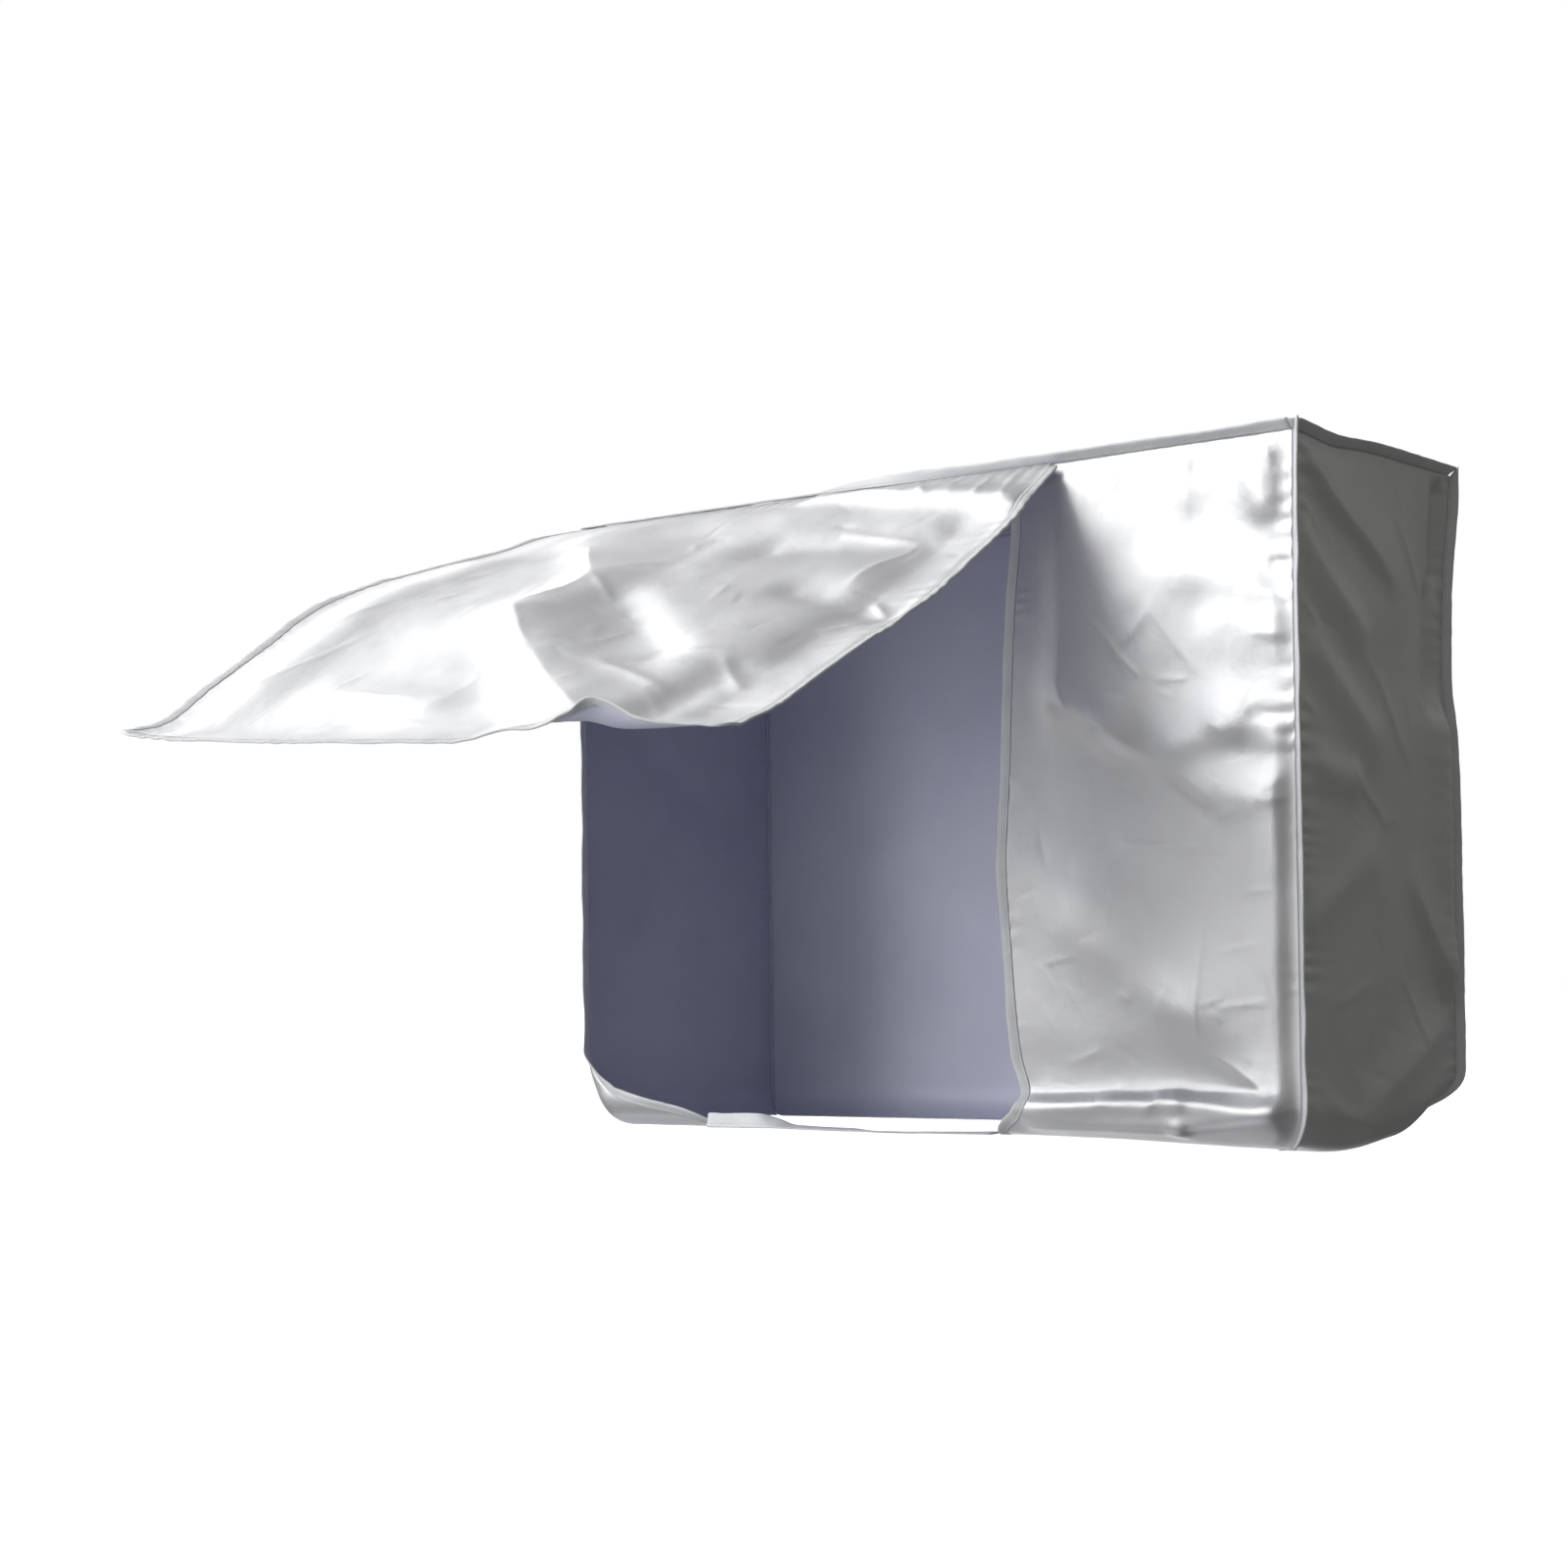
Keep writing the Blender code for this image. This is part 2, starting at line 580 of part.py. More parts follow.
def make_top_binding():
    """Sew the binding round the top edge. It stands out and up, but lies back behind the flap."""
    corner_round = 0.003
    turns = 4
    points = []
    outward = []
    corners = ((1, -1, -90), (1, 1, 0), (-1, 1, 90), (-1, -1, 180))
    centres = [
        Vector((side_x * (HALF_W - corner_round), side_y * (HALF_D - corner_round), 0))
        for side_x, side_y, first in corners
    ]
    leans = (45, 45, 45, TOP_BINDING_LEAN[0].lean)
    for index, centre in enumerate(centres):
        side_x, side_y, first = corners[index]
        lean = radians(leans[index])
        for step in range(turns + 1):
            angle = radians(first + 90 * step / turns)
            flat = Vector((cos(angle), sin(angle), 0))
            spot = centre + flat * corner_round
            add_binding_point(points, outward, spot, corner_reach(spot, flat, side_x, side_y, lean), lean)
        run = centres[(index + 1) % len(centres)] - centre
        pieces = DEEP_COLUMNS if index % 2 == 0 else WIDE_COLUMNS
        for step in range(1, pieces):
            spot = centre + flat * corner_round + run * step / pieces
            lean = radians(45)
            if index == 2:
                lean = radians(along_table(LEFT_BINDING_LEAN, "across", spot.y).lean)
            if index == 3:
                lean = radians(along_table(TOP_BINDING_LEAN, "across", spot.x).lean)
            add_binding_point(points, outward, spot, flat * cos(lean), lean)
    points.append(points[0].copy())
    outward.append(outward[0].copy())
    placed = [give(point) for point in points]
    ribbon("top_binding", placed, outward, TAPE_WIDTH, TAPE_THICK, (0, 0, 1), start=0.0)


def make_corner_bindings():
    """Sew the bindings of the three upright seams."""
    used = ROWS - TURN_ROWS - 1
    top_clear = SEAM_SET + 4 * GAP
    for name, side_x, side_y in (
        ("front_right_binding", 1, -1),
        ("back_right_binding", 1, 1),
        ("back_left_binding", -1, 1),
    ):
        points = []
        outward = []
        for row in range(used + 1):
            down = max(down_at(row / ROWS), top_clear)
            turned, height, out, up = hem_profile(down)
            spot = (side_x * (HALF_W - turned), side_y * (HALF_D - turned), height)
            points.append(give(spot))
            lean = Vector((side_x * out, side_y * out, up * 2)).normalized()
            if row == 0:
                lean.z += TOP_MITRE
            outward.append(lean)
        scaled = []
        for index, direction in enumerate(outward):
            narrowed = 1.0 - FOOT_NARROW * ease((index - WALL_ROWS) / (used - WALL_ROWS))
            scaled.append(direction * (1.0 + binding_wave(index) / TAPE_WIDTH) * narrowed)
        ribbon(name, points, scaled, TAPE_WIDTH, TAPE_THICK, (-side_y, side_x, 0), start=0.0)


def make_edge_bindings():
    """Sew the bindings of the free edges: front panel, left side panel and flap."""
    shares = [EDGE_START / ROWS] + [row / ROWS for row in range(1, ROWS + 1)]
    edge = [front_point(0.0, share) for share in shares]
    inner = [front_point(1 / FRONT_COLUMNS, share) for share in shares]
    frames = outward_frames(edge, inner)
    ribbon("front_panel_edge_binding", edge, frames, TAPE_WIDTH, TAPE_THICK, (0, -1, 0))

    edge = [left_point(1.0, share) for share in shares[:-1]]
    inner = [left_point(1 - 1 / LEFT_COLUMNS, share) for share in shares[:-1]]
    frames = outward_frames(edge, inner)
    ribbon("left_panel_edge_binding", edge, frames, TAPE_WIDTH, TAPE_THICK, (-1, -1, 0))

    places = [(0.0, EDGE_START / FLAP_ROWS)]
    places += [(0.0, row / FLAP_ROWS) for row in range(1, FLAP_ROWS)]
    places += [(column / FLAP_COLUMNS, 1.0) for column in range(FLAP_COLUMNS)]
    places += [(1.0, 1.0 - row / FLAP_ROWS) for row in range(FLAP_ROWS)]
    places += [(1.0, EDGE_START / FLAP_ROWS)]
    edge = [flap_cloth_point(u, v) for u, v in places]
    inner = []
    for u, v in places:
        one_in = u + (0.5 - u) / FLAP_COLUMNS * 2
        inner.append(flap_cloth_point(one_in, min(v, 1 - 1 / FLAP_ROWS)))
    frames = outward_frames(edge, inner)
    ribbon("flap_binding", edge, frames, TAPE_WIDTH, TAPE_THICK, (0, 0, 1))


def make_hem_tape():
    """Run the tape along the front of the hem, from the left wrap to the front panel's foot."""
    steps = 24
    first = HEM_TAPE[0].across
    span = HEM_TAPE[-1].across - first
    points = []
    outward = []
    for step in range(steps + 1):
        spot = along_table(HEM_TAPE, "across", first + span * step / steps)
        lean = radians(spot.tilt)
        points.append(Vector((spot.across, -HALF_D + spot.back, -spot.drop)))
        outward.append(Vector((0, cos(lean), sin(lean))))
    ribbon("hem_tape", points, outward, HEM_TAPE_WIDE, HEM_TAPE_THICK, (0, 0, -1), start=0.0)


for leftover in list(bpy.data.objects):
    bpy.data.objects.remove(leftover, do_unlink=True)
cover = bpy.data.collections.new("air_conditioner_cover")
bpy.context.scene.collection.children.link(cover)
make_panels()
make_top_binding()
make_corner_bindings()
make_edge_bindings()
make_hem_tape()
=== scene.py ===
"""Looks of the fitted cover for an air conditioner: silver coated cloth, its folds and its tapes.

The cloth is laid by the same functions as the solids, on a finer grid, and its creases are listed
in short tables. Metres, +Z up, the origin at the middle of the top panel.
"""
from collections import namedtuple
from math import radians

import bpy
import numpy as np
from mathutils import Matrix, Vector


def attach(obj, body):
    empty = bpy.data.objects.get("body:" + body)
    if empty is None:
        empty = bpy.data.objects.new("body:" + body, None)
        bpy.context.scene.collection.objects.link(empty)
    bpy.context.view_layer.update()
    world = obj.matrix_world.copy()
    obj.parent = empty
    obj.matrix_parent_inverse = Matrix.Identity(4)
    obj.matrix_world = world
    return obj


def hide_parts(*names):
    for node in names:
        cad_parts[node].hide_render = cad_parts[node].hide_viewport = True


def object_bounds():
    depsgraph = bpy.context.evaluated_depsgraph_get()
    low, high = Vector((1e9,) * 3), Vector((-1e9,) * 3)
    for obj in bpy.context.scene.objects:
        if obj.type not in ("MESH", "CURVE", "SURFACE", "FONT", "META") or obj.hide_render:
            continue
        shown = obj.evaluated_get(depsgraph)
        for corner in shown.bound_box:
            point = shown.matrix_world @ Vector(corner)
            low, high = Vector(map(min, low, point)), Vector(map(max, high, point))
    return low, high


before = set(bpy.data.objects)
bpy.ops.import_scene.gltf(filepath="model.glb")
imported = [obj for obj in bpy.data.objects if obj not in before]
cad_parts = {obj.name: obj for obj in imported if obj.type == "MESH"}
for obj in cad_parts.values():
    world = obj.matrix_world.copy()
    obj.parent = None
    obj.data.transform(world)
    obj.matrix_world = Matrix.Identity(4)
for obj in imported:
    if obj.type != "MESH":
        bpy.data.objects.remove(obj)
first_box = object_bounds()

# Sizes that the cover shares with its solids
WIDTH = 0.860
DEPTH = 0.320
HEIGHT = 0.640
HALF_W = WIDTH / 2
HALF_D = DEPTH / 2
SHEET = 0.0011
TAPE_WIDTH = 0.010
TAPE_THICK = 0.0026
GAP = 0.0003
SEAM_SET = 0.0014
SEAM_CALM = 0.022
HEM_ROUND = 0.034
HEM_TURN = 0.026
HEM_ARC = HEM_ROUND * np.pi / 2
WALL = HEIGHT - HEM_ROUND
DOWN_TOTAL = WALL + HEM_ARC + HEM_TURN

# The cover's give: flared corner, sagging right edge, foot drawn up at the back right
CORNER_FLARE = 0.0040
FLARE_REACH = 0.120
SIDE_SAG = 0.0050
SIDE_SAG_BACK = -0.090
SIDE_SAG_REACH = 0.050
FOOT_LIFT = 0.026
FOOT_LIFT_FROM = 0.060
FOOT_LIFT_ABOVE = 0.500
FOOT_SAG = 0.014
FOOT_SAG_BACK = -0.040
FOOT_SAG_REACH = 0.100
FOOT_NARROW = 0.55
DrawPlace = namedtuple("DrawPlace", "down inward")
EDGE_DRAW = (
    DrawPlace(0.000, 0.0000),
    DrawPlace(0.030, 0.0010),
    DrawPlace(0.100, 0.0058),
    DrawPlace(0.200, 0.0078),
    DrawPlace(0.260, 0.0040),
    DrawPlace(0.360, 0.0026),
    DrawPlace(DOWN_TOTAL, 0.0026),
)
EDGE_DRAW_REACH = 0.100

# A fold runs from one place to another on its panel and lifts the cloth outwards. Its spreads are
# the half widths on its two sides, and edge says how sharp its ridge is, from 0 to 1.
Fold = namedtuple("Fold", "across down to_across to_down lift left_spread right_spread edge")
FOLD_CORE = 0.001

# Front panel: across is the distance right of the cover's middle, down that below its top edge
FRONT_FOLDS = (
    Fold(0.190, 0.010, 0.188, 0.230, 0.0070, 0.075, 0.022, 0),
    Fold(0.385, 0.012, 0.399, 0.062, 0.0045, 0.018, 0.018, 0),
    Fold(0.342, 0.073, 0.428, 0.138, -0.0050, 0.036, 0.026, 0.1),
    Fold(0.310, 0.118, 0.377, 0.130, 0.0038, 0.030, 0.024, 0.2),
    Fold(0.377, 0.130, 0.428, 0.160, 0.0034, 0.026, 0.020, 0.4),
    Fold(0.359, 0.170, 0.424, 0.186, 0.0030, 0.020, 0.030, 0),
    Fold(0.187, 0.225, 0.243, 0.262, 0.0070, 0.045, 0.018, 0.1),
    Fold(0.243, 0.262, 0.340, 0.324, 0.0060, 0.045, 0.013, 0.1),
    Fold(0.311, 0.274, 0.362, 0.261, 0.0038, 0.030, 0.020, 0),
    Fold(0.362, 0.261, 0.424, 0.277, 0.0045, 0.030, 0.018, 0),
    Fold(0.387, 0.328, 0.428, 0.307, 0.0036, 0.020, 0.016, 0.3),
    Fold(0.126, 0.384, 0.218, 0.439, 0.0065, 0.055, 0.055, 0),
    Fold(0.218, 0.439, 0.318, 0.518, 0.0065, 0.055, 0.045, 0),
    Fold(0.318, 0.520, 0.400, 0.585, 0.0045, 0.030, 0.025, 0),
    Fold(0.404, 0.350, 0.402, 0.600, 0.0060, 0.024, 0.050, 0),
    Fold(0.130, 0.596, 0.392, 0.588, -0.0070, 0.050, 0.011, 0),
    Fold(0.128, 0.612, 0.300, 0.602, 0.0050, 0.010, 0.011, 0.3),
    Fold(0.300, 0.602, 0.406, 0.612, 0.0050, 0.010, 0.011, 0.3),
    Fold(0.140, 0.628, 0.300, 0.627, 0.0065, 0.010, 0.010, 0.3),
    Fold(0.300, 0.627, 0.404, 0.612, 0.0060, 0.010, 0.010, 0.3),
)
FRONT_CREASES = (
    Fold(0.178, 0.200, 0.206, 0.272, 0.0012, 0.004, 0.004, 1),
    Fold(0.208, 0.140, 0.274, 0.216, 0.0009, 0.003, 0.003, 1),
    Fold(0.250, 0.178, 0.283, 0.150, 0.0007, 0.005, 0.006, 0.7),
    Fold(0.283, 0.150, 0.333, 0.216, 0.0008, 0.008, 0.005, 0.7),
    Fold(0.205, 0.256, 0.254, 0.296, 0.0012, 0.004, 0.006, 1),
    Fold(0.251, 0.188, 0.270, 0.211, 0.0010, 0.003, 0.004, 1),
    Fold(0.238, 0.172, 0.262, 0.216, 0.0009, 0.003, 0.003, 1),
    Fold(0.287, 0.213, 0.319, 0.216, 0.0010, 0.003, 0.005, 1),
    Fold(0.304, 0.309, 0.340, 0.336, 0.0016, 0.008, 0.004, 1),
    Fold(0.244, 0.362, 0.329, 0.370, 0.0013, 0.003, 0.006, 1),
    Fold(0.330, 0.435, 0.328, 0.556, 0.0008, 0.003, 0.003, 1),
    Fold(0.331, 0.556, 0.404, 0.603, 0.0026, 0.012, 0.008, 0.8),
    Fold(0.342, 0.470, 0.392, 0.462, 0.0010, 0.003, 0.004, 1),
    Fold(0.350, 0.520, 0.398, 0.512, 0.0009, 0.003, 0.004, 1),
    Fold(0.400, 0.005, 0.408, 0.026, 0.0014, 0.005, 0.006, 0.6),
    Fold(0.345, 0.004, 0.354, 0.030, 0.0009, 0.005, 0.007, 0.6),
    Fold(0.318, 0.004, 0.326, 0.020, 0.0008, 0.005, 0.006, 0.6),
    Fold(0.410, 0.119, 0.430, 0.121, -0.0018, 0.007, 0.007, 0.4),
    Fold(0.390, 0.253, 0.430, 0.256, -0.0018, 0.007, 0.007, 0.4),
    Fold(0.392, 0.178, 0.430, 0.186, 0.0014, 0.006, 0.007, 0.5),
    Fold(0.396, 0.332, 0.428, 0.330, 0.0014, 0.006, 0.007, 0.5),
    Fold(0.215, 0.605, 0.238, 0.590, 0.0016, 0.005, 0.006, 0.8),
    Fold(0.262, 0.612, 0.292, 0.592, 0.0020, 0.005, 0.007, 0.8),
)

# Right side panel: across is the distance back from the cover's middle
RIGHT_FOLDS = (
    Fold(-0.146, 0.018, 0.020, 0.112, 0.0070, 0.040, 0.014, 0.4),
    Fold(-0.140, 0.098, -0.040, 0.170, 0.0070, 0.018, 0.026, 0.2),
    Fold(-0.122, 0.193, -0.020, 0.268, 0.0070, 0.020, 0.028, 0.2),
    Fold(-0.116, 0.300, -0.060, 0.310, 0.0050, 0.018, 0.020, 0),
    Fold(0.135, 0.015, 0.138, 0.100, -0.0080, 0.016, 0.014, 0),
    Fold(0.112, 0.130, 0.122, 0.230, -0.0060, 0.018, 0.014, 0),
    Fold(0.140, 0.250, 0.138, 0.480, 0.0100, 0.026, 0.030, 0),
    Fold(0.068, 0.410, 0.142, 0.512, 0.0060, 0.030, 0.014, 0.4),
    Fold(-0.136, 0.435, -0.028, 0.382, 0.0040, 0.020, 0.024, 0.2),
    Fold(-0.036, 0.603, 0.125, 0.545, 0.0050, 0.022, 0.022, 0.3),
)
RIGHT_CREASES = (
    Fold(-0.150, 0.060, -0.118, 0.084, 0.0016, 0.006, 0.008, 0.6),
    Fold(-0.152, 0.150, -0.122, 0.172, 0.0016, 0.006, 0.008, 0.6),
    Fold(-0.150, 0.240, -0.126, 0.252, 0.0014, 0.006, 0.008, 0.6),
    Fold(-0.060, 0.300, 0.010, 0.350, 0.0016, 0.010, 0.006, 0.6),
    Fold(-0.020, 0.200, 0.060, 0.290, 0.0016, 0.012, 0.008, 0.5),
    Fold(0.040, 0.060, 0.110, 0.150, 0.0018, 0.012, 0.008, 0.6),
    Fold(0.030, 0.480, 0.090, 0.560, 0.0014, 0.008, 0.006, 0.8),
    Fold(-0.100, 0.520, -0.020, 0.500, 0.0012, 0.008, 0.006, 0.8),
    Fold(-0.110, 0.600, 0.020, 0.632, 0.0022, 0.010, 0.010, 0.5),
)

# Left side panel: across is the distance forward from the cover's middle
LEFT_FOLDS = (
    Fold(-0.120, 0.060, 0.090, 0.180, 0.0060, 0.030, 0.024, 0.3),
    Fold(-0.130, 0.330, 0.060, 0.230, 0.0050, 0.028, 0.024, 0.3),
    Fold(0.020, 0.360, 0.120, 0.520, 0.0060, 0.026, 0.030, 0.2),
    Fold(-0.110, 0.560, 0.040, 0.500, 0.0040, 0.024, 0.024, 0.3),
)

# Back panel: across is the distance left of the cover's middle
BACK_FOLDS = (
    Fold(-0.340, 0.090, -0.080, 0.240, 0.0060, 0.050, 0.040, 0.3),
    Fold(0.040, 0.120, 0.300, 0.330, 0.0060, 0.050, 0.040, 0.3),
    Fold(-0.200, 0.520, 0.180, 0.400, 0.0050, 0.050, 0.050, 0.2),
)

# The flap: across is the distance right of its left edge and down that from its seam
FLAP_FOLDS = (
    Fold(0.120, 0.110, 0.235, 0.240, 0.0060, 0.050, 0.030, 0),
    Fold(0.235, 0.250, 0.228, 0.345, 0.0050, 0.045, 0.032, 0),
    Fold(0.240, 0.370, 0.480, 0.610, 0.0100, 0.050, 0.030, 0),
    Fold(0.370, 0.150, 0.520, 0.150, -0.0080, 0.030, 0.040, 0),
    Fold(0.470, 0.270, 0.590, 0.320, -0.0060, 0.034, 0.020, 0),
    Fold(0.300, 0.300, 0.420, 0.420, -0.0070, 0.026, 0.040, 0),
    Fold(0.520, 0.460, 0.500, 0.580, -0.0070, 0.026, 0.026, 0),
    Fold(0.560, 0.120, 0.555, 0.540, -0.0060, 0.040, 0.024, 0),
    Fold(0.340, 0.014, 0.600, 0.075, 0.0070, 0.022, 0.016, 0),
    Fold(0.140, 0.510, 0.260, 0.525, 0.0050, 0.026, 0.020, 0.2),
    Fold(0.060, 0.200, 0.060, 0.560, 0.0040, 0.030, 0.030, 0),
)
FLAP_CREASES = (
    Fold(0.140, 0.140, 0.238, 0.253, 0.0020, 0.012, 0.005, 1),
    Fold(0.238, 0.253, 0.226, 0.350, 0.0024, 0.012, 0.005, 1),
    Fold(0.226, 0.350, 0.300, 0.430, 0.0026, 0.014, 0.005, 1),
    Fold(0.300, 0.430, 0.489, 0.612, 0.0022, 0.016, 0.008, 0.8),
    Fold(0.238, 0.253, 0.290, 0.300, 0.0016, 0.006, 0.006, 1),
    Fold(0.556, 0.280, 0.590, 0.315, 0.0026, 0.007, 0.008, 1),
    Fold(0.585, 0.322, 0.548, 0.366, 0.0022, 0.008, 0.006, 1),
    Fold(0.365, 0.147, 0.430, 0.120, 0.0018, 0.010, 0.006, 0.8),
    Fold(0.430, 0.120, 0.528, 0.137, 0.0018, 0.010, 0.006, 0.8),
    Fold(0.528, 0.137, 0.516, 0.246, 0.0018, 0.008, 0.008, 0.8),
    Fold(0.380, 0.445, 0.485, 0.507, 0.0020, 0.008, 0.010, 0.6),
    Fold(0.500, 0.434, 0.549, 0.496, 0.0020, 0.008, 0.008, 0.7),
    Fold(0.036, 0.450, 0.075, 0.335, 0.0007, 0.003, 0.003, 1),
    Fold(0.050, 0.520, 0.100, 0.400, 0.0006, 0.003, 0.003, 1),
    Fold(0.156, 0.514, 0.249, 0.520, 0.0013, 0.004, 0.006, 0.9),
    Fold(0.180, 0.545, 0.290, 0.560, 0.0010, 0.004, 0.006, 0.9),
    Fold(0.385, 0.018, 0.450, 0.040, 0.0016, 0.006, 0.006, 0.8),
    Fold(0.460, 0.012, 0.490, 0.060, 0.0018, 0.006, 0.006, 0.8),
    Fold(0.500, 0.014, 0.516, 0.050, 0.0018, 0.005, 0.006, 0.8),
    Fold(0.540, 0.012, 0.552, 0.070, 0.0018, 0.005, 0.006, 0.8),
    Fold(0.574, 0.020, 0.590, 0.080, 0.0016, 0.005, 0.006, 0.8),
)
FLAP_LENGTH = 0.62
FLAP_SLOPE = radians(25)
FLAP_CALM = 0.030
HEM_CURL = 0.007
HEM_DIP = 0.016
FLAP_SEAM_LEFT = -0.4285
FLAP_SEAM_RIGHT = 0.187

# The front panel's free left edge
EdgePlace = namedtuple("EdgePlace", "down across")
FRONT_EDGE = (
    EdgePlace(0.000, 0.1300),
    EdgePlace(0.060, 0.1270),
    EdgePlace(0.150, 0.1190),
    EdgePlace(0.370, 0.1090),
    EdgePlace(0.560, 0.1160),
    EdgePlace(0.604, 0.1250),
    EdgePlace(0.622, 0.1150),
    EdgePlace(0.640, 0.0930),
    EdgePlace(0.660, 0.0840),
    EdgePlace(DOWN_TOTAL, 0.0830),
)

# The left side panel's free edge: how far it wraps on to the front at each depth
WrapPlace = namedtuple("WrapPlace", "down corner_round reach")
LEFT_WRAP = (
    WrapPlace(0.000, 0.004, 0.000),
    WrapPlace(0.560, 0.004, 0.000),
    WrapPlace(0.585, 0.014, 0.000),
    WrapPlace(0.606, 0.030, 0.006),
    WrapPlace(0.617, 0.036, 0.034),
    WrapPlace(0.628, 0.040, 0.084),
    WrapPlace(0.638, 0.042, 0.106),
    WrapPlace(0.649, 0.043, 0.118),
    WrapPlace(WALL + HEM_ARC, 0.044, 0.124),
    WrapPlace(DOWN_TOTAL, 0.044, 0.124),
)
WRAP_TOTAL = WALL + HEM_ARC + 0.008

# The flap's two side edges from the seam outwards, and its hem from left to right: how far it sags,
# how high its edge stands up as a lip, and how deep the dip behind the lip is
FlapEdge = namedtuple("FlapEdge", "out aside drop")
FLAP_LEFT = (
    FlapEdge(0.0019, 0.000, 0.0012),
    FlapEdge(0.060, 0.004, 0.014),
    FlapEdge(0.130, 0.010, 0.038),
    FlapEdge(0.202, 0.015, 0.059),
    FlapEdge(0.318, 0.024, 0.095),
    FlapEdge(0.371, 0.028, 0.118),
    FlapEdge(0.426, 0.032, 0.156),
    FlapEdge(0.491, 0.037, 0.200),
    FlapEdge(0.560, 0.042, 0.244),
    FlapEdge(0.598, 0.046, 0.249),
)
FLAP_RIGHT = (
    FlapEdge(0.0019, 0.000, 0.0012),
    FlapEdge(0.030, 0.002, 0.024),
    FlapEdge(0.079, 0.004, 0.066),
    FlapEdge(0.143, 0.007, 0.111),
    FlapEdge(0.220, 0.010, 0.158),
    FlapEdge(0.345, 0.016, 0.224),
    FlapEdge(0.413, 0.019, 0.260),
    FlapEdge(0.457, 0.021, 0.276),
    FlapEdge(0.476, 0.022, 0.281),
)
HemPlace = namedtuple("HemPlace", "share sag lip dip")
FLAP_HEM = (
    HemPlace(0.000, 0.000, 0.0000, 0.000),
    HemPlace(0.060, 0.008, 0.0000, 0.000),
    HemPlace(0.328, 0.013, 0.0000, 0.000),
    HemPlace(0.574, 0.012, 0.0000, 0.000),
    HemPlace(0.683, 0.001, 0.0000, 0.000),
    HemPlace(0.756, 0.000, 0.0060, 0.008),
    HemPlace(0.795, 0.000, 0.0145, 0.009),
    HemPlace(0.828, 0.000, 0.0095, 0.008),
    HemPlace(0.860, 0.000, 0.0030, 0.007),
    HemPlace(0.900, 0.000, 0.0005, 0.004),
    HemPlace(1.000, 0.000, 0.0000, 0.000),
)

# How the top binding stands along the front edge and, from front to back, along the left one:
# 45 degrees is out and up, and past 90 it lies back on the top panel
LeanPlace = namedtuple("LeanPlace", "across lean")
TOP_BINDING_LEAN = (
    LeanPlace(-0.430, 172),
    LeanPlace(-0.130, 172),
    LeanPlace(-0.075, 140),
    LeanPlace(-0.010, 90),
    LeanPlace(0.060, 58),
    LeanPlace(0.130, 45),
    LeanPlace(0.430, 45),
)
LEFT_BINDING_LEAN = (
    LeanPlace(-0.160, 172),
    LeanPlace(-0.120, 150),
    LeanPlace(-0.050, 80),
    LeanPlace(0.000, 45),
    LeanPlace(0.160, 45),
)
CLEAR_OF_TOP = 0.0011
TOP_MITRE = 1.22
TOP_MITRE_REACH = 0.028

# The tape along the front of the hem
TapePlace = namedtuple("TapePlace", "across back drop tilt")
HEM_TAPE_WIDE = 0.014
HEM_TAPE = (
    TapePlace(-0.2680, 0.0076, HEIGHT - 0.0014, 70),
    TapePlace(-0.2020, 0.0070, HEIGHT - 0.0020, 74),
    TapePlace(-0.1850, 0.0080, HEIGHT - 0.0020, 40),
    TapePlace(-0.1600, 0.0100, HEIGHT - 0.0010, 8),
    TapePlace(-0.0400, 0.0110, HEIGHT + 0.0000, 0),
    TapePlace(0.0200, 0.0120, HEIGHT + 0.0000, 0),
    TapePlace(0.0855, 0.0140, HEIGHT - 0.0004, 0),
)


def ease(value):
    """Rise smoothly from 0 to 1."""
    value = np.clip(value, 0.0, 1.0)
    return value * value * (3.0 - 2.0 * value)


def curve(places, heights, at):
    """Run a smooth curve through a table, without overshoot."""
    places = np.asarray(places, float)
    heights = np.asarray(heights, float)
    steps = np.diff(places)
    slopes = np.diff(heights) / steps
    lean = np.zeros(len(places))
    lean[0], lean[-1] = slopes[0], slopes[-1]
    before, after = slopes[:-1], slopes[1:]
    weight_a = 2 * steps[1:] + steps[:-1]
    weight_b = steps[1:] + 2 * steps[:-1]
    rising = before * after > 0
    safe_a = np.where(rising, before, 1.0)
    safe_b = np.where(rising, after, 1.0)
    lean[1:-1] = np.where(rising, (weight_a + weight_b) / (weight_a / safe_a + weight_b / safe_b), 0)
    index = np.clip(np.searchsorted(places, at) - 1, 0, len(steps) - 1)
    t = np.clip((at - places[index]) / steps[index], 0, 1)
    rest = (1 + 2 * t) * (1 - t) ** 2 * heights[index] + t * t * (3 - 2 * t) * heights[index + 1]
    bend = t * (1 - t) ** 2 * lean[index] - t * t * (1 - t) * lean[index + 1]
    return rest + bend * steps[index]


def read(rows, key, name, at):
    """Read one column of a table at places between its rows."""
    return curve([getattr(row, key) for row in rows], [getattr(row, name) for row in rows], at)


def waver(x, y, seed):
    """Blend random heights on a lattice of unit steps."""
    draw = np.random.default_rng(seed).uniform(-1, 1, (97, 89))
    x, y = np.broadcast_arrays(np.asarray(x, float), np.asarray(y, float))
    column, row = np.floor(x).astype(int), np.floor(y).astype(int)
    part_x, part_y = ease(x - column), ease(y - row)

    def corner(step_x, step_y):
        return draw[(column + step_x) % 97, (row + step_y) % 89]

    low = corner(0, 0) * (1 - part_x) + corner(1, 0) * part_x
    high = corner(0, 1) * (1 - part_x) + corner(1, 1) * part_x
    return low * (1 - part_y) + high * part_y


